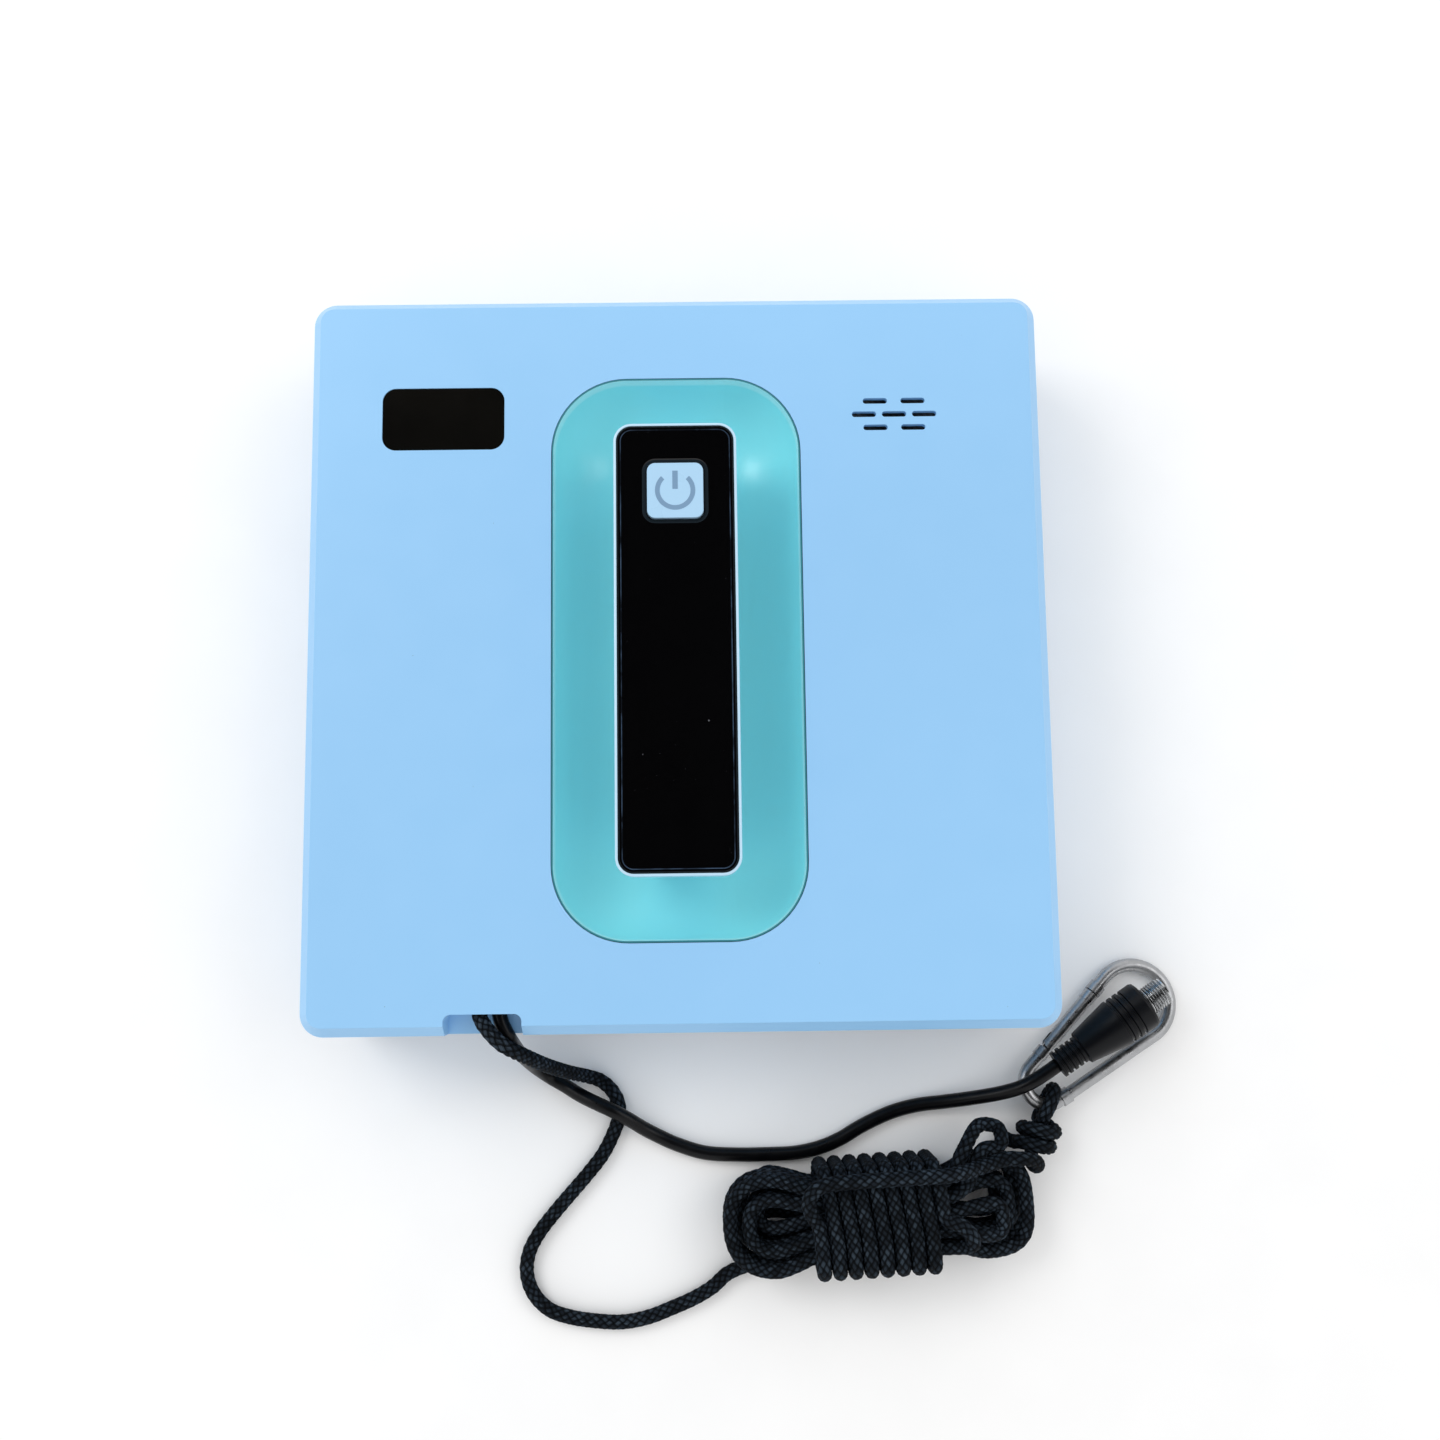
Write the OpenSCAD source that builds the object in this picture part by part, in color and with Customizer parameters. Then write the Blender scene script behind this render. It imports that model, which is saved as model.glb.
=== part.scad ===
// Window cleaning robot with two rubber tracks, a suction fan and a carry handle,
// its low voltage lead and its safety rope tied to a spring hook.
// Millimetres. +Z up, the origin is the centre of the footprint on the surface
// that the robot stands on. The cord notch is in the -Y edge.

/* [Body] */
// Width of the body
body_w = 240; // [220:1:270]
// Length of the body
body_l = 240; // [230:1:270]
// Height of the flat top face above the surface
body_h = 56; // [54:1:64]
// Corner radius seen from above
corner_r = 7.5; // [6:0.5:12]
// Wall of the mouldings
wall = 2.2; // [1.6:0.1:2.6]
// How far the edge facet of the cover leans out
edge_out = 3.2; // [1:0.2:4.4]
// Height of the edge facet
edge_drop = 4.3; // [2:0.1:6]
// Small rounding between the facet and the top face
edge_round = 0.8; // [0.2:0.1:1.2]
// Height of the joint between cover and base
seam_z = 24; // [22:0.5:26]
// Shadow gap at that joint
seam_gap = 0.3; // [0.1:0.1:0.6]
// Height of the locating lip of the base
lip_h = 3; // [1:0.5:5]
// Thickness of the locating lip
lip_t = 1.2; // [0.8:0.1:1.6]
// Floor of the base
floor_t = 2.5; // [2:0.1:4]
// Chamfer round the foot of the base
foot_chamfer = 1.2; // [0.4:0.2:2]
// Gap between pieces that locate each other
fit = 0.2; // [0.1:0.05:0.3]
// Radial clearance of turning and sliding pins
running = 0.05; // [0.02:0.01:0.08]

/* [Handle tray] */
// Width of the oval tray
tray_w = 81.2; // [78:0.2:90]
// Length of the oval tray
tray_l = 183.5; // [178:0.5:196]
// Corner radius of the tray
tray_r = 24.6; // [24:0.2:30]
// Radius of the hollow's side, which is also its depth
tray_hollow_r = 23; // [20:0.5:23.4]
// Wall of the tray
tray_t = 1.8; // [1.2:0.1:2]
// Flat rim round the hollow
tray_rim = 0.6; // [0.4:0.1:1]
// Width of the flange under the cover
tray_flange = 3; // [2:0.5:4]
// Thickness of that flange
tray_flange_t = 1.4; // [1:0.2:2]

/* [Handle] */
// Width of the grip
handle_w = 39; // [34:0.5:42]
// Length of the grip
handle_l = 143; // [130:1:150]
// Corner radius of the grip
handle_r = 5.8; // [5:0.2:8]
// Rise of the grip above the top face
handle_rise = 15.5; // [12:0.5:22]
// Thickness of the grip
handle_t = 20; // [19:0.5:22]
// Rounding along the grip's lower edges
handle_under = 4; // [2:0.5:5]
// Visible frame round the black panel
handle_rim = 0.85; // [0.6:0.05:1.4]
// Thickness of the black panel
panel_t = 1.9; // [1.4:0.1:2.4]
// Bevel round the panel
panel_bevel = 0.5; // [0.2:0.1:0.8]
// Width of each pillar under the grip
pillar_w = 26; // [20:1:30]
// Length of each pillar
pillar_l = 15; // [12:1:18]
// Spread of the pillar's foot on each side
pillar_spread = 1.5; // [0:0.5:3]

/* [Power button] */
// Side of the button's cap
button_w = 17.7; // [15:0.1:20]
// Corner radius of the cap
button_r = 2.6; // [1.5:0.1:4]
// Place of the button along the grip
button_y = 49.4; // [40:0.2:54]
// Height of the cap above the panel
button_proud = 0.7; // [0.2:0.1:1.5]
// Travel of the button
button_travel = 0.8; // [0.3:0.1:0.9]
// Width of the bevelled seat round the cap
button_seat = 1.4; // [1:0.1:2]
// Side of the flange that keeps the cap in
button_flange = 1; // [0.6:0.1:1.4]

/* [Top details] */
// Width of the dark window
window_w = 40; // [30:0.5:44]
// Length of the dark window
window_l = 21; // [14:0.5:26]
// Corner radius of the window
window_r = 4.5; // [2:0.5:6]
// Centre of the window across
window_x = -76.1; // [-84:0.1:-72]
// Centre of the window along
window_y = 78.9; // [70:0.1:90]
// Centre of the sound slots across
sound_x = 71.8; // [68:0.1:80]
// Centre of the sound slots along
sound_y = 79; // [70:0.1:86]
// Length of a sound slot
slot_l = 8; // [6:0.1:8.6]
// Width of a sound slot
slot_w = 1.9; // [1.4:0.1:2.4]
// Pitch of the three slots in the middle row
slot_pitch_mid = 9.9; // [9.4:0.1:11]
// Pitch of the two slots in the outer rows
slot_pitch_out = 12.4; // [10:0.1:14]
// Distance between the rows
slot_row = 4.5; // [3.6:0.1:6]
// Radius of the loudspeaker
speaker_r = 14; // [12:0.5:15]

/* [Cord notch] */
// Width of the notch
notch_w = 24.6; // [22:0.2:26]
// Depth of the notch in from the wall
notch_in = 6.8; // [5:0.2:8]
// Corner radius inside the notch
notch_r = 2.4; // [1:0.2:3]
// Centre of the notch across
notch_x = -62.1; // [-66:0.1:-58]
// Height of the notch below the top face
notch_deep = 10; // [9:0.2:12]
// Fall of the notch's floor towards the edge
notch_fall = 1.4; // [0.4:0.2:2]

/* [Pad] */
// Outer side of the cloth pad
pad_w = 232; // [220:1:236]
// Side of the opening in the pad
pad_open = 150; // [146:1:156]
// Corner radius of the opening
pad_open_r = 14; // [10:1:24]
// Thickness of the cloth pad
pad_t = 7.2; // [6:0.2:9]
// Rounding of the pad's lower edge
pad_round = 2.2; // [1:0.2:3]
// Thickness of the hook tape over the pad
tape_t = 0.8; // [0.6:0.1:1.2]
// Margin of the hook tape inside the pad's edge
tape_in = 5; // [3:0.5:7]

/* [Tracks] */
// Distance of each track from the middle
track_x = 53; // [52:0.5:56]
// Width of the belt
track_w = 20; // [16:0.5:20]
// Distance of the wheels from the middle
wheel_y = 44; // [40:1:46]
// Outside radius of the belt with its lugs
track_r = 16; // [15:0.2:16.6]
// Height of the lugs
lug_h = 1.4; // [0.6:0.1:2]
// Width of a lug
lug_w = 3.6; // [2:0.2:4.4]
// Thickness of the belt
belt_t = 2.1; // [1.4:0.1:2.4]
// Width of the guide rib inside the belt
rib_w = 3; // [2:0.2:5]
// Height of the guide rib
rib_h = 1.6; // [0.8:0.1:2]
// Gap between belt and wheel
belt_gap = 0.3; // [0.2:0.05:0.5]
// Width of a wheel
wheel_w = 18; // [14:0.5:19]
// Radius of a drive shaft
shaft_r = 2.5; // [2:0.1:3]
// Radius of an idler axle
axle_r = 2; // [1.5:0.1:2.5]
// Space round the track in its well
well_gap = 1.5; // [1:0.1:2]
// Wall of the track wells
well_t = 1.6; // [1.2:0.1:1.8]

/* [Drive] */
// Length of a gearbox across the robot
gearbox_l = 20; // [16:0.5:22]
// Width of a gearbox along the robot
gearbox_w = 28; // [24:0.5:32]
// Height of a gearbox
gearbox_h = 21; // [20:0.5:24]
// Radius of a motor
motor_r = 9; // [7:0.5:9.5]
// Length of a motor
motor_l = 25; // [18:0.5:26]

/* [Fan] */
// Radius inside the fan housing
fan_r = 33; // [31.5:0.5:34.5]
// Wall of the fan housing
fan_wall = 1.4; // [1:0.1:1.8]
// Height of the fan housing
fan_h = 16.5; // [15.5:0.5:17.5]
// Radius of the air intake
intake_r = 20; // [15:0.5:22]
// Radius of the impeller
impeller_r = 29.5; // [26:0.5:30.5]
// Height of the blades
blade_h = 8.8; // [6:0.2:9.4]
// Number of blades
blade_count = 11; // [7:1:13]
// Thickness of a blade
blade_t = 1.1; // [0.8:0.1:1.6]
// Radius of the fan's hub
hub_r = 13.6; // [13.2:0.2:15]
// Radius of the fan motor
fan_motor_r = 11; // [9:0.5:11.5]
// Radius of the fan's shaft
fan_shaft_r = 1.5; // [1:0.1:2]
// Width of the air duct
duct_w = 26; // [20:0.5:28]
// Thickness of the intake gasket
gasket_t = 1; // [0.6:0.1:1.4]

/* [Edge pins] */
// Distance of each edge pin from the two walls by it
pin_in = 16; // [14:0.5:19]
// Radius of an edge pin
pin_r = 2.5; // [2:0.1:3]
// Travel of an edge pin below the pad
pin_travel = 2.2; // [1:0.1:2.6]
// Radius of the stop collar on a pin
pin_collar_r = 4; // [3.6:0.1:4.6]
// Height of an edge pin
pin_h = 27; // [25:0.5:30]

/* [Cords] */
// Diameter of the safety rope
rope_d = 4.6; // [3.8:0.1:4.6]
// Diameter of the low voltage lead
lead_d = 4.8; // [3.8:0.1:4.8]

/* [Spring hook] */
// Diameter of the hook's wire
wire_d = 4.6; // [3.6:0.1:4.6]
// Bend radius of the wire at the wide end
hook_big_r = 13; // [12:0.5:14]
// Bend radius of the wire at the narrow end
hook_small_r = 7.5; // [6.5:0.5:8]
// Distance between the centres of the two bends
hook_l = 41.3; // [39:0.1:44]
// Distance along the side from the narrow bend to the gate's pin
gate_at = 10.9; // [9:0.1:12]
// Length of the gate from its pin to its nose
gate_l = 22.7; // [18:0.1:24]
// Opening angle of the gate
gate_angle = 28; // [10:1:30]

/* [Hidden] */
$fn = 48;

// Overrun of a cut past the face it opens
over = 1;
base_z = pad_t + tape_t;
floor_z = base_z + floor_t;
ceiling_z = body_h - wall;
half_w = body_w / 2;
half_l = body_l / 2;
lining = wall + lip_t;
seat_gap = 0.3;

// Colours of the materials
shell_color = [0.66, 0.84, 0.98];
tray_color = [0.36, 0.70, 0.77];
dark_color = [0.03, 0.03, 0.03];
board_color = [0.08, 0.35, 0.18];
metal_color = [0.72, 0.73, 0.74];
rubber_color = [0.08, 0.08, 0.09];

// Tray
tray_floor_z = body_h - tray_hollow_r;
tray_under_z = tray_floor_z - tray_t;
tray_inner_w = tray_w - 2 * tray_rim;
tray_inner_l = tray_l - 2 * tray_rim;
tray_inner_r = tray_r - tray_rim;

// Handle
handle_z = body_h + handle_rise;
grip_z = handle_z - handle_t;
handle_round = 1;
pillar_y = handle_l / 2 - pillar_l / 2 - handle_under;
panel_w = handle_w - 2 * handle_rim - fit;
panel_l = handle_l - 2 * handle_rim - fit;
panel_r = handle_r - handle_rim - fit / 2;
panel_z = handle_z - panel_t;
bay_w = handle_w - 2 * handle_r;
bay_l = bay_w + handle_r;
bay_floor_t = 5;
bay_z = grip_z + bay_floor_t;
screw_r = 1.5;
screw_head_r = 2.9;
screw_head_h = 1.6;
handle_screw_x = pillar_w / 4;
handle_screw_up = 10;

// Button
seat_w = button_w + 2 * button_seat + 2 * fit;
seat_deep = 0.9;
cap_hole_w = button_w + 2 * fit;
flange_t = 1.2;
flange_z = panel_z - seat_gap - flange_t;
board_t = 1.6;
switch_w = 6;
switch_h = 4.4;
plunger_r = 1.7;
plunger_h = 1.2;
stem_r = 2.6;
switch_clear = 0.15;
switch_z = bay_z + seat_gap + board_t;
plunger_z = switch_z + switch_h + plunger_h;
stem_z = plunger_z + button_travel + switch_clear;

// Window
window_lip = 2;
window_lip_t = 1.2;
led_board_w = 30;
led_board_l = 14;
led_r = 2.4;
led_h = 3;

// Speaker
speaker_h = 5;
magnet_r = 8.5;
magnet_h = 3.4;
speaker_ring_t = 1.4;
speaker_z = ceiling_z - seat_gap - speaker_h;

// Tracks
wheel_z = track_r;
belt_out_r = track_r - lug_h;
belt_in_r = belt_out_r - belt_t;
wheel_r = belt_in_r - belt_gap;
groove_w = rib_w + 2 * belt_gap + 0.6 * rib_w;
groove_deep = rib_h + 2 * belt_gap;
lug_count = 36;
well_w = track_w + 2 * well_gap;
well_y = wheel_y + track_r + well_gap;
well_z = wheel_z + track_r + well_gap;
lightening_share = 0.62;
lightening_r_share = 0.15;
lightening_count = 6;
bush_r = 4;

// Drive
gearbox_x = track_x + well_w / 2 + well_t + fit;
gearbox_z = floor_z + seat_gap;
motor_z = gearbox_z + gearbox_h - motor_r - fan_wall;
shaft_in_gearbox = gearbox_l * 0.8;
shaft_end = track_x - well_w / 2 - well_t;
motor_cap_r_share = 0.45;
motor_cap_h = 2;

// Fan
fan_z = floor_z + gasket_t;
fan_top_z = fan_z + fan_h;
fan_plate_t = 1.4;
impeller_z = fan_z + fan_wall + 1.6;
impeller_plate_t = 1.2;
hub_bottom_t = 1.3;
hub_wall = hub_r - fan_motor_r - 1;
blade_root = 0.9;
blade_offset_share = 0.576;
blade_bend_share = 0.525;
duct_out_x = fan_r + fan_wall - 0.5 * fan_wall;
duct_h = 11;
duct_end_y = half_l - lining - fit;
grille_r = intake_r + 4;
grille_t = 1.2;
grille_bar = 1.4;
grille_rings = 4;
vent_slots = 6;

pin_at = [body_w / 2 - pin_in, body_l / 2 - pin_in];

// Electronics
board_w = 40;
board_l = 84;
board_in = 27;
board_x = body_w / 2 - board_in;
board_y = -22;
board_z = 32;
post_r = 3;
post_in = 5;
chip_t = 2.4;
cell_r = 7.1;
cell_l = 50;
cell_gap = 0.4;
battery_in = 29;
battery_x = -(body_w / 2 - battery_in);
battery_y = -24;
holder_t = 1.6;

// Edge pins
sleeve_r = 5.6;
sleeve_t = 1.3;
sleeve_cap_t = 2;
sleeve_z = floor_z + seat_gap;
sleeve_h = 15.5;
collar_t = 1.5;
collar_z = floor_z + seat_gap + pin_travel + fit;
pad_pin_hole_r = pin_r + 3;

// Screws that hold the base to the cover
boss_r = 4;
boss_foot = 2;
base_screw_up = 14;
screw_near = 10;
screw_far = 34;
screw_at = [
    [half_w - screw_far, half_l - screw_near],
    [half_w - screw_near, half_l - screw_far - screw_near]
];

// Notch and clamp
notch_y = -(half_l - notch_in);
notch_z = body_h - notch_deep;
cord_hole_gap = 0.2;
rope_z = ceiling_z - rope_d / 2 - cord_hole_gap - 0.1;
lead_z = notch_z + lead_d / 2 + cord_hole_gap;
clamp_l = 10;
clamp_w = notch_w;
clamp_y = notch_y + wall + 3;
clamp_h = 9;

// Hook, laid on the surface with its narrow end raised by the rope under it
hook_at = [123.8, -141.9, 7.3];
hook_turn = 39.1;
hook_tilt = 5.2;
hook_lean = asin((hook_big_r - hook_small_r) / hook_l);
side_l = sqrt(pow(hook_l, 2) - pow(hook_big_r - hook_small_r, 2));
// The straight rods are a touch thinner than the bends and reach into them
rod_lap = 0.5;
rod_r = wire_d / 2 - 0.05;
collar_grow = 0.5;
collar_l = 3.4;
tongue_t_share = 0.36;
tongue_back_share = 0.62;
tongue_w_share = 0.64;
gate_end_gap = 0.4;
gate_pin_r = 0.8;

// Connector, lying over the hook
connector_at = [126.2, -135.4, 15.1];
connector_turn = 33.6;
connector_rise = 1.6;
neck_l = 9.5;
neck_r = 4.75;
grip_l = 27;
grip_r = 8.25;
grip_groove = 0.7;
grip_groove_w = 1.2;
nose_l = 8;
nose_r = 4.5;
nose_bore_r = 2.8;
nose_in = 3;

// Route of the lead: inside the clamp, out of the notch, down to the surface, over the
// rope, past the hank and up over the hook to the connector
lead_points = [
    [-57.8, clamp_y, lead_z], [-57.8, -113, lead_z], [-57.2, -115.8, 48.6], [-56.2, -118.2, 48.4],
    [-55, -120.8, 47.4], [-54.4, -123.4, 42], [-53.9, -126.8, 32], [-52.8, -130.5, 20],
    [-50.3, -134.7, 9.6], [-46.3, -138.4, 4], [-41, -141.5, 4], [-36.2, -144.2, 5.8], [-30, -147, 7.8],
    [-24.6, -149.4, 8.4], [-19.2, -152.6, 6.8], [-14, -156.2, 4], [-8.6, -159.2, 2.6], [-3, -161.7, 2.5],
    [6.5, -164.6, 2.5], [17, -165.4, 2.5], [28, -165.4, 2.5], [38, -165, 2.5], [46.5, -163.2, 2.5],
    [53, -160.6, 2.5], [59.4, -157, 2.5], [66, -153.8, 2.5], [72.4, -151.4, 2.5], [80, -149.6, 2.8],
    [89, -148.4, 4.4], [96.8, -147.2, 6.6], [104, -145.8, 9.2], [109.4, -144.4, 11.6],
    [114, -142.7, 13.6], [118, -140.6, 14.7]
];

// Route of the rope from the clamp to the hank
rope_points = [
    [-63.7, clamp_y, rope_z], [-63.7, -113, rope_z], [-63, -115.4, 51.3], [-61.3, -117.8, 51.8],
    [-59, -120.3, 52.6], [-56.3, -122.7, 52.8], [-53.1, -124.9, 50.6], [-50, -127.2, 45],
    [-46.2, -130.3, 36], [-42.6, -133.2, 25], [-38, -136, 14], [-33.6, -138, 6], [-29.2, -139.9, 2.8],
    [-25.3, -143.3, 2.5], [-23, -148, 2.5], [-23.2, -153, 2.5], [-25, -158, 2.5],
    [-28.5, -164.6, 2.5], [-33.7, -171.1, 2.5], [-39.9, -178, 2.5], [-45.1, -183.9, 2.5],
    [-50.3, -190.4, 2.5], [-53.7, -196.9, 2.5], [-54.4, -203.8, 2.5], [-52, -210.4, 2.5],
    [-46.8, -215.5, 2.5], [-39.9, -218, 2.5], [-30.4, -219.5, 2.5], [-21.7, -219.9, 2.5],
    [-13.1, -218.4, 2.5], [-5.3, -215.6, 2.5], [2.5, -212.4, 2.5], [8.8, -208.8, 2.5], [13.8, -204.6, 2.5]
];

// Hank: runs and folds in four layers, drawn in at the waist where the winding holds it
hank_at = [64.5, -183, 0];
hank_turn = 2.9;
hank_end_x = 35.4;
hank_waist_x = 22.6;
hank_side_x = 28.6;
hank_layer = 5.3;
waist_pitch = 5.2;
// Sideways places of the runs at the folds, in step order
fold_near = 1.8;
fold_mid = 8.2;
fold_far = 14.5;
sag_from = 16;
sag_to = 50;
left_shift = -0.7;
slack = 12;
slack_inner = 11;
slack_lag = 6;
slack_reach = 7;
slack_droop = 6;
droop_from = 19.2;
turns = 8;
turn_pitch = 5.15;
wind_gap = 5.8;
wind_r = 6;
top_advance = 0.5;

// Each run of the hank: sideways step, layer at its start, layer at its end
hank_runs = [
    [-2, 0, 0], [2, 0, 0], [1, 0, 0], [-1, 0, 0], [0, 0, 1],
    [1, 1, 1], [-1, 1, 1], [2, 1, 1], [-2, 1, 2],
    [2, 2, 2], [-1, 2, 2], [1, 2, 2], [0, 2, 3],
    [-1, 3, 3], [1, 3, 3], [2, 3, 3], [-2, 3, 3]
];
run_x = [-hank_end_x, -hank_side_x, -hank_waist_x, 0, hank_waist_x, hank_side_x, hank_end_x];
fold_steps = 6;
// How square the folds are at the left and the right end: 1 is round
blunt_left = 0.85;
blunt_right = 0.62;
wind_low_z = rope_d / 2 + 0.1;
hank_low_z = wind_low_z + wind_gap;
wind_half_w = 2 * waist_pitch + wind_gap;
wind_half_h = (3 * hank_layer + 2 * wind_gap) / 2;
wind_mid_z = wind_low_z + wind_half_h;

// Maths for the cords
function unit(v) = v / norm(v);
function ease(t) = t <= 0 ? 0 : t >= 1 ? 1 : t * t * (3 - 2 * t);
function mix(a, b, t) = a + (b - a) * t;
function turned(p, a) = [p[0] * cos(a) - p[1] * sin(a), p[0] * sin(a) + p[1] * cos(a), p[2]];
function laid(p) = hank_at + turned(p, hank_turn);
function flat(lists) = [for (l = lists) for (p = l) p];

// Place of a run at its fold: the steps spread out from the waist's even pitch
last_run = len(hank_runs) - 1;
function fold_y(i, x) = let (step = hank_runs[i][0])
    step == 0 ? (i < last_run / 2 ? -1 : 1) * sign(x) * fold_near
    : sign(step) * (abs(step) == 1 ? fold_mid : fold_far);
function slack_of(i, x) = x <= 0 ? 0 : i == last_run - 1 ? slack : i == last_run - 2 ? slack_inner : 0;
spread_from = 20.4;
function slack_from(i) = spread_from + (i == last_run - 2 ? slack_lag : 0);
function spread(x) = ease((abs(x) - spread_from) / (hank_end_x - spread_from));
function run_y(i, x) = mix(hank_runs[i][0] * waist_pitch, fold_y(i, x), spread(x))
    + (x < 0 ? left_shift * spread(x) : 0)
    + slack_of(i, x) * ease((x - slack_from(i)) / (hank_end_x - slack_from(i)));
function sag(x) = (hank_low_z - wind_low_z) * ease((abs(x) - sag_from) / (sag_to - sag_from));
function droop(y) = slack_droop * ease((y - droop_from) / slack);
function layer_z(layer, x) = hank_low_z + hank_layer * layer - sag(x);
function run_point(i, x) = let (
    way = i % 2 == 0 ? 1 : -1,
    t = (way * x + hank_end_x) / (2 * hank_end_x),
    layer = mix(hank_runs[i][1], hank_runs[i][2], ease(t)),
    y = run_y(i, x)
) [x, y, layer_z(layer, x) - (slack_of(i, x) > 0 ? droop(y) : 0)];
function run_points(i) = [for (x = run_x) run_point(i, i % 2 == 0 ? x : -x)];
function fold_points(i) = let (
    side = i % 2 == 0 ? 1 : -1,
    a = run_y(i, side * hank_end_x),
    b = run_y(i + 1, side * hank_end_x),
    layer = hank_runs[i][2],
    loose = slack_of(i + 1, side) > 0 && slack_of(i, side) > 0,
    blunt = side < 0 ? blunt_left : blunt_right,
    reach = loose ? slack_reach : abs(b - a) / 2
) [for (k = [1 : fold_steps - 1]) let (
    t = 180 * k / fold_steps,
    x = side * (hank_end_x + reach * pow(sin(t), blunt)),
    y = (a + b) / 2 + (a - b) / 2 * sign(cos(t)) * pow(abs(cos(t)), blunt)
) [x, y, layer_z(layer, x) - (loose ? droop(y) : 0)]];
hank_local = concat(
    [[-hank_end_x - 6, run_y(0, -hank_end_x) - 0.5, wind_low_z + 1.4]],
    flat([for (i = [0 : last_run - 1]) concat(run_points(i), fold_points(i))]),
    [for (k = [0 : 4]) run_point(last_run, run_x[k])]
);

// Winding: turns of a rounded rectangle that step back along the hank
function corner_points(cx, cz, a)
    = [for (k = [0 : 3]) [cx + wind_r * sin(a + 30 * k), cz + wind_r * cos(a + 30 * k)]];
function side_points(a, b, n) = n < 1 ? [] : [for (k = [1 : n]) mix(a, b, k / (n + 1))];
wind_cx = wind_half_w - wind_r;
wind_cz = wind_half_h - wind_r;
wind_loop = concat(
    side_points([-wind_cx, wind_half_h], [wind_cx, wind_half_h], 3),
    corner_points(wind_cx, wind_cz, 0),
    side_points([wind_half_w, wind_cz], [wind_half_w, -wind_cz], 1),
    corner_points(wind_cx, -wind_cz, 90),
    side_points([wind_cx, -wind_half_h], [-wind_cx, -wind_half_h], 3),
    corner_points(-wind_cx, -wind_cz, 180),
    side_points([-wind_half_w, -wind_cz], [-wind_half_w, wind_cz], 1),
    corner_points(-wind_cx, wind_cz, 270)
);
loop_n = len(wind_loop);
wind_start_x = turns * turn_pitch / 2;
function advance(k) = let (n = 4) k < n ? top_advance * k / n
    : top_advance + (1 - top_advance) * (k - n) / (loop_n - n);
function wind_point(k) = let (i = k % loop_n, turn = floor(k / loop_n), p = wind_loop[i])
    [wind_start_x - turn_pitch * (turn + advance(i)), p[0], wind_mid_z + p[1]];
wind_local = concat(
    [
        [hank_waist_x, -2 * waist_pitch, hank_low_z + 3 * hank_layer - sag(hank_waist_x)],
        [hank_waist_x + 3.4, -10.6, 24.4], [hank_waist_x + 6, -9.4, 27], [hank_waist_x + 5.4, -6, 29.4],
        [hank_waist_x + 2.6, -2.8, 29.9]
    ],
    [for (k = [1 : turns * loop_n + 1]) wind_point(k)],
    [[-22.4, 2.4, 30.4], [-24, 6, 32.2], [-23.8, 9.8, 34.2]]
);

// Tail of the rope: back over the winding and down to the knot
tail_local = [
    [-23.8, 9.8, 34.2], [-21.2, 12.8, 35], [-17, 14, 35.2], [-8, 14.2, 35], [2, 14.2, 35], [12, 14.2, 35],
    [21, 14.1, 34.8], [27, 14.2, 31.4], [32, 14.6, 27.4], [37, 15.2, 25], [42.4, 16.4, 24.2]
];
tail_end = [
    [111.4, -164.6, 24.4], [115.2, -165.4, 22], [117.6, -167.4, 17.6], [118, -168.9, 12.8],
        [117.4, -168.4, 9.2]
];

// Knot: the rope goes through its own coil, round the hook's wire and back into the coil
eye_at = [123.8, -149.4, 7.75];
knot_turn = -112;
coil_from = 6.2;
coil_pitch = 5.1;
coil_r = 5.3;
coil_steps = 10;
coil_turns = 1.8;
coil_end = coil_from + coil_pitch * coil_turns;
knot_local = concat(
    [[16, 0, 0], [11.5, 0, 0], [6.6, 0, 0], [4.5, -0.4, 2], [2.2, -0.6, 4.5], [-1.4, -0.3, 4.9],
        [-4.4, -0.1, 3.2]],
    [[-5.6, 0.1, 0], [-4.4, 0.2, -3.3], [-1.4, 0.2, -5], [2.2, 0.2, -5.1]],
    [for (k = [0 : coil_turns * coil_steps]) let (a = -90 + 360 * k / coil_steps)
        [coil_from + coil_pitch * k / coil_steps, coil_r * cos(a), coil_r * sin(a)]],
    [
        [coil_end + 0.5, -coil_r - 0.1, -3.4], [coil_end + 0.8, -coil_r - 2.3, -4.8],
        [coil_end + 0.9, -coil_r - 5.7, -5.2]
    ]
);
knot_points = [for (p = knot_local) eye_at + turned(p, knot_turn)];
hank_points = [for (p = hank_local) laid(p)];
wind_points = [for (p = wind_local) laid(p)];
tail_points = concat([for (p = tail_local) laid(p)], tail_end, [knot_points[0]]);
hank_in = hank_points[0];
hank_way = unit(hank_points[1] - hank_points[0]);
connector_way = [
    cos(connector_turn) * cos(connector_rise), sin(connector_turn)
        * cos(connector_rise), sin(connector_rise)
];

// Least distance of a cord's surface to itself, measured from points to stretches
function point_gap(p, a, b) = let (d = b - a, t = max(0, min(1, (p - a) * d / (d * d))))
    norm(p - a - t * d);
function least_gap(p, q, apart) = min([
    for (i = [0 : len(p) - 1]) for (j = [0 : len(q) - 2])
        if (apart == 0 || abs(i - j) > apart) point_gap(p[i], q[j], q[j + 1])
]);

// Tube along points, with rings square to the way and round caps left flat
function ways(p) = [for (i = [0 : len(p) - 1]) unit(p[min(i + 1, len(p) - 1)] - p[max(i - 1, 0)])];
function square_to(n, t) = unit(n - (n * t) * t);
function sideways(t, first) = [
    for (i = 0, n = square_to(first, t[0]); i < len(t); i = i + 1,
        n = i < len(t) ? square_to(n, t[i]) : n) n
];

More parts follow.
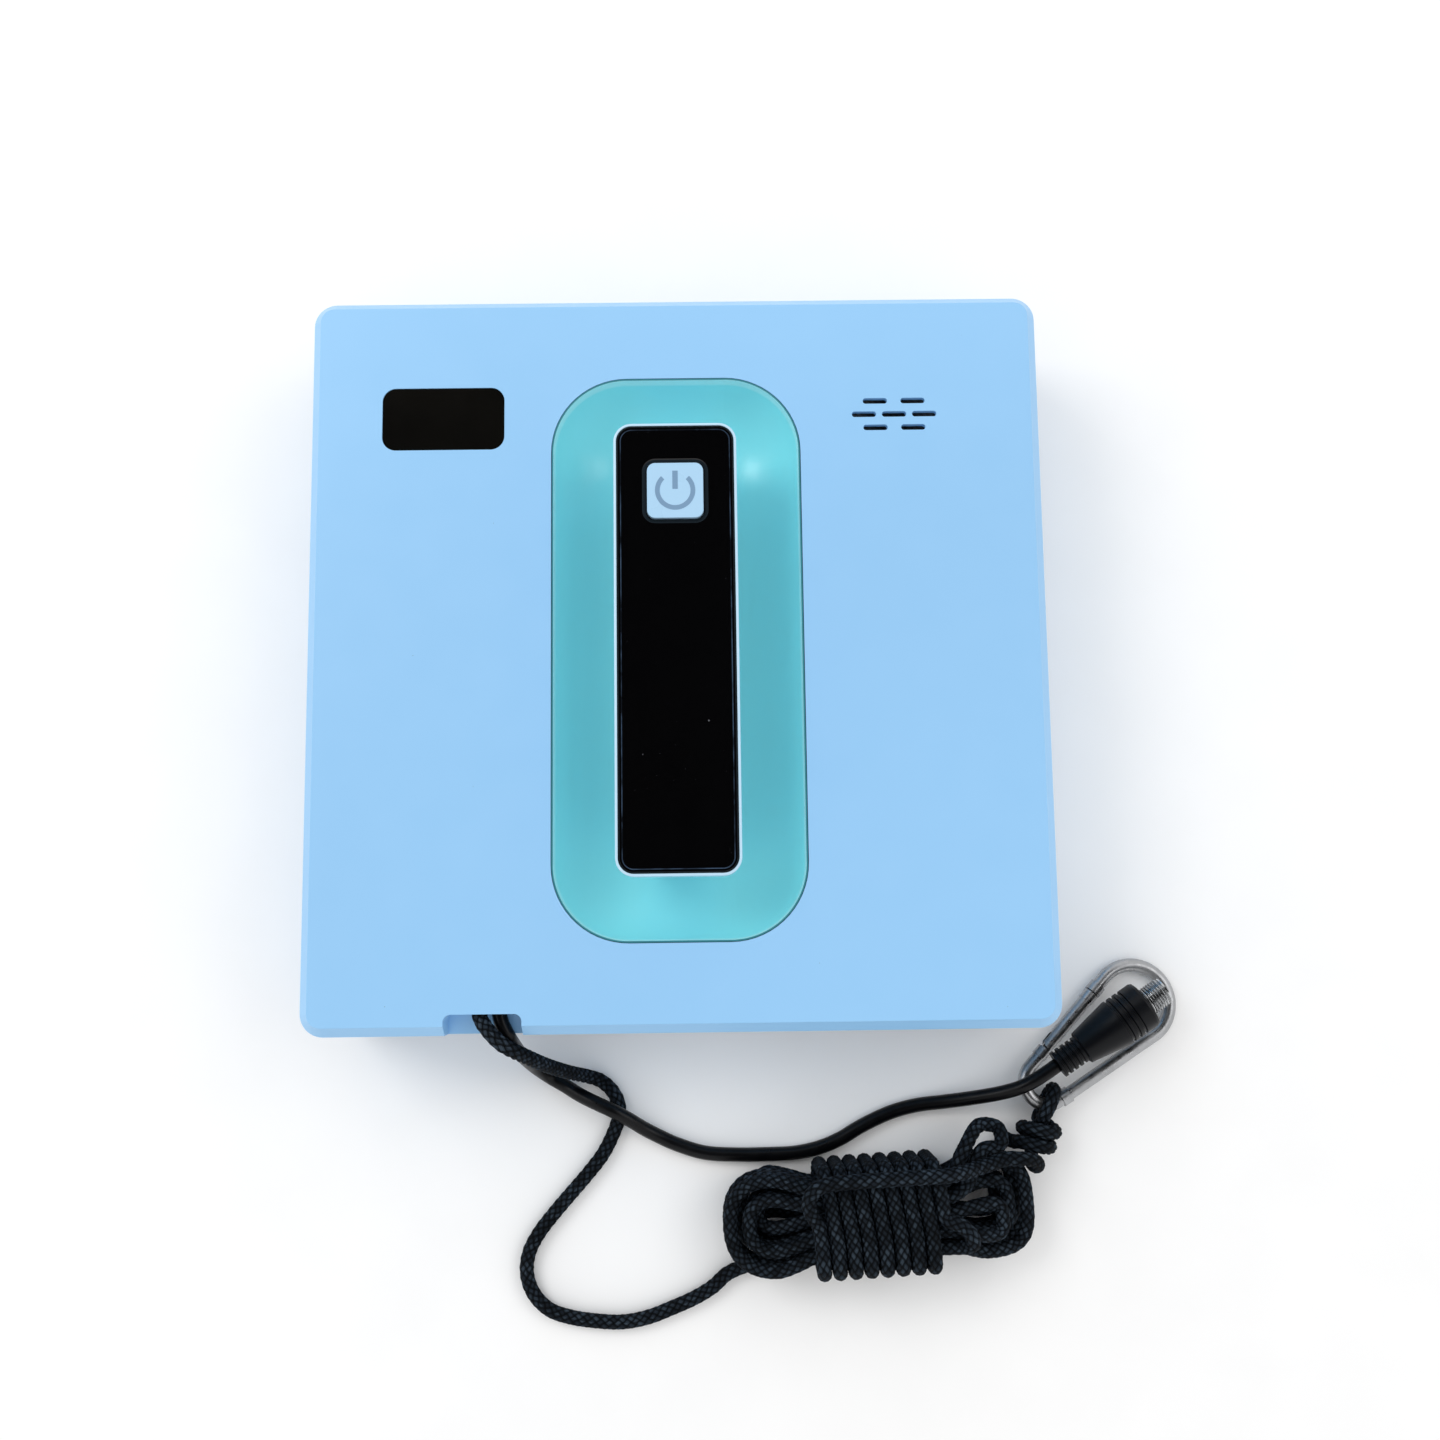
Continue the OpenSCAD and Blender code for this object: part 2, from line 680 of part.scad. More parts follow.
module tube(points, d, sides) {
    t = ways(points);
    n = sideways(t, [0.1, 0.2, 1]);
    rings = [
        for (i = [0 : len(points) - 1]) for (k = [0 : sides - 1])
            points[i] + d / 2 * (cos(360 * k / sides) * n[i] + sin(360 * k / sides) * cross(t[i], n[i]))
    ];
    last = (len(points) - 1) * sides;
    skin = [
        for (i = [0 : len(points) - 2]) for (k = [0 : sides - 1]) for (half = [0, 1])
            let (a = i * sides + k, b = i * sides + (k + 1) % sides)
                half == 0 ? [a, a + sides, b] : [b, a + sides, b + sides]
    ];
    caps = [
        for (k = [1 : sides - 2]) for (end = [0, 1])
            end == 0 ? [0, k, k + 1] : [last, last + k + 1, last + k]
    ];
    polyhedron(points = rings, faces = concat(skin, caps));
}

// Plan with rounded corners
module rounded_plan(w, l, r) {
    square([w - 2 * r, l], center = true);
    square([w, l - 2 * r], center = true);
    for (x = [-1, 1], y = [-1, 1]) translate([x * (w / 2 - r), y * (l / 2 - r)]) circle(r = r);
}

module rounded_plate(w, l, r, h) {
    linear_extrude(height = h) rounded_plan(w, l, r);
}

// Block with rounded plan whose edge follows the child's profile: x runs from the corner's
// centre to the wall, y is the height
module framed_block(w, l, r, z0, z1) {
    translate([-(w / 2 - r), -(l / 2 - r), z0]) cube([w - 2 * r, l - 2 * r, z1 - z0]);
    for (side = [0, 180]) {
        rotate([0, 0, side]) translate([w / 2 - r, 0, 0]) rotate([90, 0, 0])
            linear_extrude(height = l - 2 * r, center = true) children();
        rotate([0, 0, side + 90]) translate([l / 2 - r, 0, 0]) rotate([90, 0, 0])
            linear_extrude(height = w - 2 * r, center = true) children();
    }
    for (c = [[1, 1, 0], [-1, 1, 90], [-1, -1, 180], [1, -1, 270]])
        translate([c[0] * (w / 2 - r), c[1] * (l / 2 - r), 0]) rotate([0, 0, c[2]])
            rotate_extrude(angle = 90) children();
}

// Edge profiles
module facet_profile(r, z0, z1, out, drop, round, chamfer) {
    polygon([
        [0, z0], [r - chamfer, z0], [r, z0 + chamfer], [r, z1 - drop],
        [r - out + round * 0.7, z1 - round * 0.9], [r - out + round * 0.3, z1 - round * 0.25],
        [r - out, z1], [0, z1]
    ]);
}

module round_top_profile(r, z0, z1, top, under) {
    intersection() {
        union() {
            translate([0, z0]) square([r - under, z1 - z0]);
            translate([0, z0 + under]) square([r, z1 - z0 - under - top]);
            translate([0, z0]) square([r - top, z1 - z0]);
            translate([r - under, z0 + under]) circle(r = under);
            translate([r - top, z1 - top]) circle(r = top);
        }
        translate([0, z0]) square([r, z1 - z0]);
    }
}

module at_sides() {
    children();
    mirror([1, 0, 0]) children();
}

module at_corners(p) {
    for (x = [-1, 1], y = [-1, 1]) translate([x * p[0], y * p[1], 0]) children();
}

// Cover
module cover_outside() {
    framed_block(body_w, body_l, corner_r, seam_z + seam_gap, body_h)
        facet_profile(corner_r, seam_z + seam_gap, body_h, edge_out, edge_drop, edge_round, 0);
}

module notch_cut() {
    intersection() {
        translate([notch_x, notch_y - notch_w / 2, notch_z - notch_fall - over])
            rounded_plate(notch_w, notch_w, notch_r, notch_deep + notch_fall + 2 * over);
        translate([notch_x - notch_w / 2 - over, 0, 0]) rotate([90, 0, 90])
            linear_extrude(height = notch_w + 2 * over)
                polygon([
                    [notch_y + over, notch_z], [notch_y, notch_z],
                    [-half_l - over, notch_z - notch_fall * (1 + over / notch_in)],
                    [-half_l - over, body_h + over], [notch_y + over, body_h + over]
                ]);
    }
}

module notch_walls() {
    intersection() {
        cover_outside();
        translate([notch_x - notch_w / 2 - wall, -half_l, notch_z - notch_fall - wall])
            cube([notch_w + 2 * wall, notch_in + wall, notch_deep + notch_fall + wall]);
    }
}

module speaker_slots() {
    for (row = [-1, 0, 1]) for (i = row == 0 ? [-1, 0, 1] : [-0.5, 0.5])
        translate([sound_x + i * (row == 0 ? slot_pitch_mid : slot_pitch_out), sound_y + row * slot_row,
            ceiling_z - over])
            rounded_plate(slot_l, slot_w, slot_w * 0.49, wall + 2 * over);
}

module top_cover() {
    color(shell_color) difference() {
        union() {
            difference() {
                cover_outside();
                framed_block(body_w - 2 * wall, body_l - 2 * wall, corner_r - wall, seam_z - over,
                    ceiling_z)
                    facet_profile(corner_r - wall, seam_z - over, ceiling_z, edge_out, edge_drop,
                        edge_round, 0);
            }
            notch_walls();
            for (p = screw_at) at_corners(p) translate([0, 0, floor_z + boss_foot + seat_gap])
                cylinder(r = boss_r, h = ceiling_z - floor_z - boss_foot - seat_gap + wall / 2);
            translate([sound_x, sound_y, speaker_z]) difference() {
                cylinder(r = speaker_r + fit + speaker_ring_t, h = speaker_h + wall);
                translate([0, 0, -over]) cylinder(r = speaker_r + fit, h = speaker_h + seat_gap + over);
            }
        }
        translate([0, 0, ceiling_z - over])
            rounded_plate(tray_w + 2 * fit, tray_l + 2 * fit, tray_r + fit, wall + 2 * over);
        translate([window_x, window_y, ceiling_z - over])
            rounded_plate(window_w, window_l, window_r, wall + 2 * over);
        speaker_slots();
        notch_cut();
        for (hole = [[rope_points[0], rope_d], [lead_points[0], lead_d]])
            translate([hole[0][0], notch_y - over, hole[0][2]]) rotate([-90, 0, 0])
                cylinder(r = hole[1] / 2 + cord_hole_gap, h = wall + 2 * over);
        for (p = screw_at) at_corners(p) translate([0, 0, floor_z])
            cylinder(r = screw_r + fit / 4, h = base_screw_up + over);
    }
}

// Base with its track wells, posts and guide holes
module well(grow, z0, z1) {
    translate([track_x - well_w / 2 - grow, -well_y - grow, z0])
        cube([well_w + 2 * grow, 2 * (well_y + grow), z1 - z0]);
}

module shaft_holes(r, y) {
    translate([shaft_end - over, y, wheel_z]) rotate([0, 90, 0])
        cylinder(r = r, h = well_w + 2 * well_t + 2 * over);
}

module base_shell() {
    color(shell_color) difference() {
        union() {
            difference() {
                framed_block(body_w, body_l, corner_r, base_z, seam_z)
                    facet_profile(corner_r, base_z, seam_z, foot_chamfer / 2, foot_chamfer / 2, 0,
                        foot_chamfer);
                translate([0, 0, floor_z])
                    rounded_plate(body_w - 2 * lining, body_l - 2 * lining, corner_r - lining, seam_z);
            }
            translate([0, 0, seam_z - lip_h]) difference() {
                rounded_plate(body_w - 2 * (wall + fit), body_l - 2 * (wall + fit),
                    corner_r - wall - fit, 2 * lip_h);
                translate([0, 0, -over])
                    rounded_plate(body_w - 2 * lining, body_l - 2 * lining, corner_r - lining,
                        2 * lip_h + 2 * over);
            }
            at_sides() well(well_t, floor_z - floor_t / 2, well_z + well_t);
            for (p = screw_at) at_corners(p) translate([0, 0, floor_z - floor_t / 2])
                cylinder(r = boss_r + wall / 2, h = boss_foot + floor_t / 2);
            for (x = [-1, 1], y = [-1, 1])
                translate([board_x + x * (board_w / 2 - post_in), board_y + y * (board_l / 2 - post_in),
                    floor_z - floor_t / 2])
                    cylinder(r = post_r, h = board_z - seat_gap - floor_z + floor_t / 2);
        }
        at_sides() well(0, base_z - over, well_z);
        at_sides() shaft_holes(axle_r + running, -wheel_y);
        at_sides() shaft_holes(shaft_r + running, wheel_y);
        at_sides() translate([shaft_end - over, wheel_y, wheel_z]) rotate([0, 90, 0])
            cylinder(r = bush_r + running, h = well_t + over + fit);
        translate([0, 0, base_z - over]) cylinder(r = intake_r, h = floor_t + 2 * over);
        at_corners(pin_at) translate([0, 0, base_z - over])
            cylinder(r = pin_r + running, h = floor_t + 2 * over);
        for (p = screw_at) at_corners(p) {
            translate([0, 0, base_z - over])
                cylinder(r = screw_r + fit / 2, h = floor_t + boss_foot + 2 * over);
            translate([0, 0, base_z - over])
                cylinder(r = screw_head_r + fit, h = screw_head_h + fit + over);
        }
        for (i = [0 : vent_slots - 1])
            translate([duct_out_x - duct_w + (i + 0.5) * duct_w / vent_slots - slot_w / 2,
                half_l - lining - over,
                fan_z + fan_wall])
                cube([slot_w, lining + 2 * over, duct_h - fan_wall]);
    }
}

// Tray
module handle_tray() {
    outer_r = tray_hollow_r + tray_t;
    color(tray_color) difference() {
        union() {
            framed_block(tray_w, tray_l, tray_r, tray_under_z, body_h) intersection() {
                union() {
                    translate([0, tray_under_z])
                        square([tray_r - tray_rim - tray_hollow_r, body_h - tray_under_z]);
                    translate([tray_r - tray_rim - tray_hollow_r, body_h]) circle(r = outer_r);
                }
                translate([0, tray_under_z]) square([tray_r, body_h - tray_under_z]);
            }
            translate([0, 0, ceiling_z - fit - tray_flange_t])
                rounded_plate(tray_w + 2 * tray_flange, tray_l + 2 * tray_flange, tray_r + tray_flange,
                    tray_flange_t);
        }
        framed_block(tray_inner_w, tray_inner_l, tray_inner_r, tray_floor_z, body_h + over) intersection() {
            union() {
                translate([0, tray_floor_z])
                    square([tray_inner_r - tray_hollow_r, body_h + over - tray_floor_z]);
                translate([tray_inner_r - tray_hollow_r, body_h]) circle(r = tray_hollow_r);
                translate([0, body_h]) square([tray_inner_r, over]);
            }
            translate([0, tray_floor_z]) square([tray_inner_r, body_h + over - tray_floor_z]);
        }
        for (x = [-1, 1], y = [-1, 1])
            translate([x * handle_screw_x, y * pillar_y, tray_under_z - over])
                cylinder(r = screw_r + fit / 2, h = tray_t + 2 * over);
    }
}

// Handle
module pillar() {
    steps = 3;
    for (i = [0 : steps - 1]) {
        grow = pillar_spread * pow(1 - i / steps, 2);
        translate([0, 0, tray_floor_z])
            rounded_plate(pillar_w + 2 * grow, pillar_l + 2 * grow, handle_r / 2 + grow,
                i == steps - 1 ? grip_z + handle_under - tray_floor_z : 0.8 * (i + 1));
    }
}

module handle_frame() {
    color(shell_color) difference() {
        union() {
            framed_block(handle_w, handle_l, handle_r, grip_z, handle_z)
                round_top_profile(handle_r, grip_z, handle_z, handle_round / 2, handle_under);
            for (y = [-1, 1]) translate([0, y * pillar_y, 0]) pillar();
        }
        translate([0, 0, panel_z - seat_gap / 3])
            rounded_plate(handle_w - 2 * handle_rim, handle_l - 2 * handle_rim, handle_r - handle_rim,
                panel_t + over);
        translate([0, button_y, bay_z]) rounded_plate(bay_w, bay_l, handle_r / 2, handle_z - bay_z);
        for (x = [-1, 1], y = [-1, 1])
            translate([x * handle_screw_x, y * pillar_y, tray_floor_z - over])
                cylinder(r = screw_r + fit / 4, h = handle_screw_up + over + fit);
    }
}

module handle_panel() {
    color(dark_color) difference() {
        framed_block(panel_w, panel_l, panel_r, panel_z, handle_z)
            facet_profile(panel_r, panel_z, handle_z, panel_bevel, panel_bevel, 0, 0);
        translate([0, button_y, panel_z - over])
            rounded_plate(cap_hole_w, cap_hole_w, button_r + fit, panel_t + 2 * over);
        translate([0, button_y, 0])
            framed_block(seat_w, seat_w, button_r + button_seat + fit, handle_z - seat_deep,
                handle_z + over)
                polygon([
                    [0, handle_z - seat_deep], [button_r + 2 * fit, handle_z - seat_deep],
                    [button_r + button_seat + fit, handle_z],
                        [button_r + button_seat + fit, handle_z + over],
                    [0, handle_z + over]
                ]);
    }
}

module handle_screws() {
    color(metal_color) for (x = [-1, 1], y = [-1, 1]) translate([x * handle_screw_x, y * pillar_y, 0]) {
        translate([0, 0, tray_under_z - screw_head_h]) cylinder(r = screw_head_r, h = screw_head_h);
        translate([0, 0, tray_under_z - screw_head_h / 2])
            cylinder(r = screw_r, h = tray_t + handle_screw_up + screw_head_h / 2 - fit);
    }
}

module power_button() {
    cap_z = flange_z + flange_t / 2;
    color([0.70, 0.86, 0.98]) translate([0, button_y, 0]) {
        framed_block(button_w, button_w, button_r, cap_z, handle_z + button_proud)
            round_top_profile(button_r, cap_z, handle_z + button_proud, 0.6, 0);
        translate([0, 0, flange_z])
            rounded_plate(button_w + 2 * button_flange, button_w + 2 * button_flange, button_r, flange_t);
        translate([0, 0, stem_z]) cylinder(r = stem_r, h = flange_z + flange_t / 2 - stem_z);
    }
}

module button_switch() {
    color(metal_color) translate([0, button_y, switch_z]) {
        translate([-switch_w / 2, -switch_w / 2, 0]) cube([switch_w, switch_w, switch_h]);
        cylinder(r = plunger_r, h = switch_h + plunger_h);
    }
}

module button_board() {
    color(board_color) translate([0, button_y, bay_z + seat_gap])
        rounded_plate(bay_w - 2 * seat_gap, bay_l - 2 * seat_gap, handle_r / 2 - seat_gap, board_t);
}

// Window and its lamps
module indicator_window() {
    color(dark_color) translate([window_x, window_y, 0]) {
        translate([0, 0, ceiling_z - fit - window_lip_t])
            rounded_plate(window_w + 2 * window_lip, window_l + 2 * window_lip, window_r + window_lip,
                window_lip_t);
        translate([0, 0, ceiling_z - fit - window_lip_t])
            rounded_plate(window_w - 2 * fit, window_l - 2 * fit, window_r - fit, wall + window_lip_t);
    }
}

module indicator_board() {
    top_z = ceiling_z - fit - window_lip_t - seat_gap;
    color(board_color) translate([window_x, window_y, 0]) {
        translate([0, 0, top_z - led_h - board_t])
            rounded_plate(led_board_w, led_board_l, window_r / 2, board_t);
        for (i = [-1, 0, 1]) translate([i * led_board_w / 3, 0, top_z - led_h - board_t / 2])
            cylinder(r = led_r, h = led_h + board_t / 2);
    }
}

module speaker() {
    color([0.2, 0.2, 0.22]) translate([sound_x, sound_y, 0]) difference() {
        union() {
            translate([0, 0, speaker_z]) cylinder(r = speaker_r, h = speaker_h);
            translate([0, 0, speaker_z - magnet_h]) cylinder(r = magnet_r, h = magnet_h + speaker_h / 2);
        }
        translate([0, 0, speaker_z + speaker_h / 2])
            cylinder(r1 = magnet_r / 2, r2 = speaker_r - speaker_ring_t, h = speaker_h / 2 + fit);
    }
}

// Electronics
module main_board() {
    color(board_color) translate([board_x, board_y, board_z]) {
        translate([-board_w / 2, -board_l / 2, 0]) cube([board_w, board_l, board_t]);
        translate([-board_w / 4, board_l / 8, board_t / 2]) cube([board_w / 3, board_w / 3, chip_t]);
        translate([-board_w / 3, -board_l / 4, board_t / 2]) cube([board_w / 5, board_w / 4, chip_t]);
        for (i = [0 : 3]) translate([board_w / 4, -board_l / 3 + i * board_l / 9, board_t / 2])
            cylinder(r = cell_r / 2, h = 4 * chip_t);
    }
}

module battery_cells() {
    color([0.25, 0.45, 0.75]) for (i = [-0.5, 0.5], k = [0, 1])
        translate([battery_x + i * 2 * (cell_r + cell_gap), battery_y - cell_l / 2,
            floor_z + seat_gap + holder_t + seat_gap + cell_r + k * 2 * (cell_r + cell_gap)])
            rotate([-90, 0, 0]) cylinder(r = cell_r, h = cell_l);
}

module battery_holder() {
    w = 4 * cell_r + 2 * cell_gap + 2 * seat_gap;
    l = cell_l + 2 * seat_gap;
    h = 3 * cell_r;
    color([0.2, 0.2, 0.2]) translate([battery_x, battery_y, floor_z + seat_gap]) difference() {
        translate([-w / 2 - holder_t, -l / 2 - holder_t, 0]) cube([w + 2 * holder_t, l + 2 * holder_t, h]);
        translate([-w / 2, -l / 2, holder_t]) cube([w, l, h]);
        for (i = [-1, 0, 1]) translate([-w, i * l / 3 - cell_r / 2, h / 2]) cube([2 * w, cell_r, h]);
    }
}

// Fan
module duct(grow, y1, z0, z1) {
    translate([duct_out_x - duct_w - grow, 0, z0]) cube([duct_w + 2 * grow, y1, z1 - z0]);
}

module fan_housing() {
    color([0.3, 0.32, 0.34]) difference() {
        union() {
            translate([0, 0, fan_z]) cylinder(r = fan_r + fan_wall, h = fan_h);
            duct(0, duct_end_y, fan_z, fan_z + duct_h + fan_wall);
        }
        translate([0, 0, fan_z + fan_wall]) cylinder(r = fan_r, h = fan_h);
        duct(-fan_wall, duct_end_y + over, fan_z + fan_wall, fan_z + duct_h);
        translate([0, 0, fan_z - over]) cylinder(r = intake_r, h = fan_wall + 2 * over);
    }
}

module fan_cover() {
    color([0.34, 0.36, 0.38]) translate([0, 0, fan_top_z]) {
        cylinder(r = fan_r + fan_wall, h = fan_plate_t);
        translate([0, 0, -fan_plate_t]) difference() {
            cylinder(r = fan_r - fit, h = 1.5 * fan_plate_t);
            translate([0, 0, -over]) cylinder(r = fan_r - fit - fan_wall, h = 1.5 * fan_plate_t + 2 * over);
        }
    }
}

module fan_blade() {
    c = impeller_r * blade_offset_share;
    bend = impeller_r * blade_bend_share;
    from = acos((pow(impeller_r - 4 * fit, 2) - c * c - bend * bend) / (2 * c * bend));
    to = acos((pow(hub_r - blade_root, 2) - c * c - bend * bend) / (2 * c * bend));
    translate([c, 0, 0]) rotate([0, 0, from]) rotate_extrude(angle = to - from)
        translate([bend - blade_t / 2, fit]) square([blade_t, blade_h - fit]);
}

module fan_impeller() {
    plate_z = impeller_z + blade_h - impeller_plate_t / 4;
    color([0.85, 0.86, 0.87]) difference() {
        union() {
            translate([0, 0, impeller_z]) cylinder(r = hub_r, h = blade_h + impeller_plate_t);
            translate([0, 0, plate_z]) cylinder(r = impeller_r, h = impeller_plate_t);
            for (i = [0 : blade_count - 1]) rotate([0, 0, i * 360 / blade_count])
                translate([0, 0, impeller_z]) fan_blade();
        }
        translate([0, 0, impeller_z + hub_bottom_t])
            cylinder(r = hub_r - hub_wall, h = blade_h + 2 * impeller_plate_t);
        translate([0, 0, impeller_z - over])
            cylinder(r = fan_shaft_r + fit / 10, h = hub_bottom_t + 2 * over);
    }
}

module fan_shaft() {
    color(metal_color) translate([0, 0, impeller_z])
        cylinder(r = fan_shaft_r, h = fan_top_z - impeller_z - fit);
}

module fan_motor() {
    z0 = impeller_z + hub_bottom_t + 1;
    color([0.55, 0.42, 0.3]) translate([0, 0, z0]) difference() {
        cylinder(r = fan_motor_r, h = fan_top_z - z0);
        translate([0, 0, -over]) cylinder(r = fan_shaft_r + running, h = fan_top_z - z0 + 2 * over);
    }
}

module intake_grille() {
    color(dark_color) translate([0, 0, base_z - grille_t]) linear_extrude(height = grille_t) {
        for (i = [0 : grille_rings]) {
            r = grille_r - i * grille_r / (grille_rings + 0.6);
            difference() {
                circle(r = r);
                circle(r = r - grille_bar * (i == 0 ? 2 : 1));
            }
        }
        for (i = [0 : 2]) rotate(i * 60) square([2 * grille_r - 2 * grille_bar, grille_bar], center = true);
    }
}

module intake_gasket() {
    color(rubber_color) translate([0, 0, floor_z]) difference() {
        cylinder(r = grille_r, h = gasket_t);
        translate([0, 0, -over]) cylinder(r = intake_r, h = gasket_t + 2 * over);
    }
}

// Drive
module gearmotor() {
    color([0.8, 0.8, 0.82]) difference() {
        union() {
            translate([gearbox_x, wheel_y - gearbox_w / 2, gearbox_z])
                cube([gearbox_l, gearbox_w, gearbox_h]);
            translate([gearbox_x + gearbox_l - over, wheel_y, motor_z]) rotate([0, 90, 0])
                cylinder(r = motor_r, h = motor_l + over);
            translate([gearbox_x + gearbox_l + motor_l - over, wheel_y, motor_z]) rotate([0, 90, 0])
                cylinder(r = motor_r * motor_cap_r_share, h = motor_cap_h + over);
        }
        translate([gearbox_x - over, wheel_y, wheel_z]) rotate([0, 90, 0])
            cylinder(r = shaft_r + running, h = shaft_in_gearbox + fit + over);
    }
}

module left_gearmotor() { mirror([1, 0, 0]) gearmotor(); }
module right_gearmotor() { gearmotor(); }

module drive_shaft() {
    color(metal_color) translate([shaft_end, wheel_y, wheel_z]) rotate([0, 90, 0])
        cylinder(r = shaft_r, h = gearbox_x + shaft_in_gearbox - shaft_end);
}

module left_drive_shaft() { mirror([1, 0, 0]) drive_shaft(); }
module right_drive_shaft() { drive_shaft(); }

module wheel(y, bore) {
    color([0.88, 0.88, 0.86]) translate([track_x, y, wheel_z]) rotate([0, 90, 0]) difference() {
        cylinder(r = wheel_r, h = wheel_w, center = true);
        difference() {
            cylinder(r = wheel_r + over, h = groove_w, center = true);
            cylinder(r = wheel_r - groove_deep, h = groove_w + over, center = true);
        }
        cylinder(r = bore, h = wheel_w + 2 * over, center = true);
        for (i = [0 : lightening_count - 1]) rotate([0, 0, i * 360 / lightening_count])
            translate([wheel_r * lightening_share, 0, 0])
                cylinder(r = wheel_r * lightening_r_share, h = wheel_w + 2 * over, center = true);
    }
}

module left_drive_wheel() { mirror([1, 0, 0]) wheel(wheel_y, shaft_r + fit / 10); }
module right_drive_wheel() { wheel(wheel_y, shaft_r + fit / 10); }
module left_idler_wheel() { mirror([1, 0, 0]) wheel(-wheel_y, axle_r + running); }
module right_idler_wheel() { wheel(-wheel_y, axle_r + running); }

module idler_axle() {
    color(metal_color) translate([shaft_end, -wheel_y, wheel_z]) rotate([0, 90, 0])
        cylinder(r = axle_r, h = well_w + 2 * well_t);
}

module left_idler_axle() { mirror([1, 0, 0]) idler_axle(); }
module right_idler_axle() { idler_axle(); }

// Outline of the belt in the plane of its loop, y along, z up
module loop_plan(r) {
    square([2 * wheel_y, 2 * r], center = true);
    for (y = [-1, 1]) translate([y * wheel_y, 0]) circle(r = r);
}

// Lugs are spread evenly along the loop's two straights and two arcs
function lug_place(s) = let (
    straight = 2 * wheel_y,
    arc = PI * belt_out_r,
    u = s < straight + arc ? s : s - straight - arc,
    back = s < straight + arc ? 0 : 180,
    turn = u <= straight ? 0 : 180 * (u - straight) / arc
) [back, min(u, straight) - wheel_y, turn];

module track() {
    loop = 4 * wheel_y + 2 * PI * belt_out_r;
    color(rubber_color) translate([track_x, 0, wheel_z]) rotate([90, 0, 90]) {
        translate([0, 0, -track_w / 2]) linear_extrude(height = track_w) {
            difference() {
                loop_plan(belt_out_r);
                loop_plan(belt_in_r);
            }
            intersection() {
                loop_plan(track_r);
                for (i = [0 : lug_count - 1]) let (p = lug_place(i * loop / lug_count))
                    rotate(p[0]) translate([p[1], 0]) rotate(p[2]) translate([-lug_w / 2, -track_r - over])
                        square([lug_w, lug_h + belt_t / 2 + over]);
            }
        }
        translate([0, 0, -rib_w / 2]) linear_extrude(height = rib_w) difference() {
            loop_plan(belt_in_r + belt_t / 2);
            loop_plan(belt_in_r - rib_h);
        }
    }
}

module left_track() { mirror([1, 0, 0]) track(); }
module right_track() { track(); }

// Rail inside the belt that presses its lower run on the glass
module track_guide() {
    guide_l = 2 * (wheel_y - wheel_r - 4 * seat_gap);
    low = belt_in_r - rib_h - seat_gap;
    color([0.3, 0.32, 0.34]) translate([track_x, 0, wheel_z]) difference() {
        union() {
            translate([-wheel_w / 6, -guide_l / 2, -low]) cube([wheel_w / 3, guide_l, 2 * low]);
            for (z = [-low, low - belt_t]) translate([-wheel_w / 2, -guide_l / 2, z])
                cube([wheel_w, guide_l, belt_t]);
            for (y = [-1, 1]) translate([0, y * guide_l / 4, 0]) rotate([0, 90, 0])
                cylinder(r = boss_r, h = well_w - 2 * fit, center = true);
        }
    }
}

module left_track_guide() { mirror([1, 0, 0]) track_guide(); }
module right_track_guide() { track_guide(); }

module shaft_bushes() {
    color([0.75, 0.6, 0.3]) at_sides() translate([shaft_end, wheel_y, wheel_z]) rotate([0, 90, 0])
        difference() {
        cylinder(r = bush_r, h = well_t);
        translate([0, 0, -over]) cylinder(r = shaft_r + running, h = well_t + 2 * over);
    }
}

// Pad
module pad_holes(r, z0, h) {
    at_corners(pin_at) translate([0, 0, z0 - over]) cylinder(r = r, h = h + 2 * over);
}

module cleaning_pad() {
    color([0.9, 0.92, 0.95]) difference() {
        framed_block(pad_w, pad_w, corner_r, 0, pad_t)
            round_top_profile(corner_r, 0, pad_t, pad_round / 4, pad_round);
        translate([0, 0, -over]) rounded_plate(pad_open, pad_open, pad_open_r, pad_t + 2 * over);
        pad_holes(pad_pin_hole_r, 0, pad_t);
    }
}

module pad_hook_tape() {
    color([0.75, 0.78, 0.8]) translate([0, 0, pad_t]) difference() {
        rounded_plate(pad_w - 2 * tape_in, pad_w - 2 * tape_in, corner_r, tape_t);
        translate([0, 0, -over])
            rounded_plate(pad_open + 2 * tape_in, pad_open + 2 * tape_in, pad_open_r, tape_t + 2 * over);
        pad_holes(pad_pin_hole_r, 0, tape_t);
        for (p = screw_at) at_corners(p) translate([0, 0, -over])
            cylinder(r = screw_head_r + fit, h = tape_t + 2 * over);
    }
}

// Edge pins
module edge_pin(x, y) {
    color(metal_color) translate([x * pin_at[0], y * pin_at[1], 0]) {
        translate([0, 0, pin_r]) cylinder(r = pin_r, h = pin_h - pin_r);
        intersection() {
            translate([0, 0, pin_r]) sphere(r = pin_r);
            cylinder(r = pin_r + over, h = pin_r);
        }
        translate([0, 0, collar_z]) cylinder(r = pin_collar_r, h = collar_t);
    }
}

module front_left_edge_pin() { edge_pin(-1, -1); }
module front_right_edge_pin() { edge_pin(1, -1); }
module rear_left_edge_pin() { edge_pin(-1, 1); }
module rear_right_edge_pin() { edge_pin(1, 1); }

module edge_pin_sleeves() {
    color([0.3, 0.32, 0.34]) at_corners(pin_at) translate([0, 0, sleeve_z]) difference() {
        cylinder(r = sleeve_r, h = sleeve_h);
        translate([0, 0, -over]) cylinder(r = sleeve_r - sleeve_t, h = sleeve_h - sleeve_cap_t + over);
        translate([0, 0, -over]) cylinder(r = pin_r + running, h = sleeve_h + 2 * over);
    }
}

module base_screws() {
    color(metal_color) for (p = screw_at) at_corners(p) {
        translate([0, 0, base_z + fit]) cylinder(r = screw_head_r, h = screw_head_h);
        translate([0, 0, base_z + screw_head_h]) cylinder(r = screw_r, h = base_screw_up);
    }
}

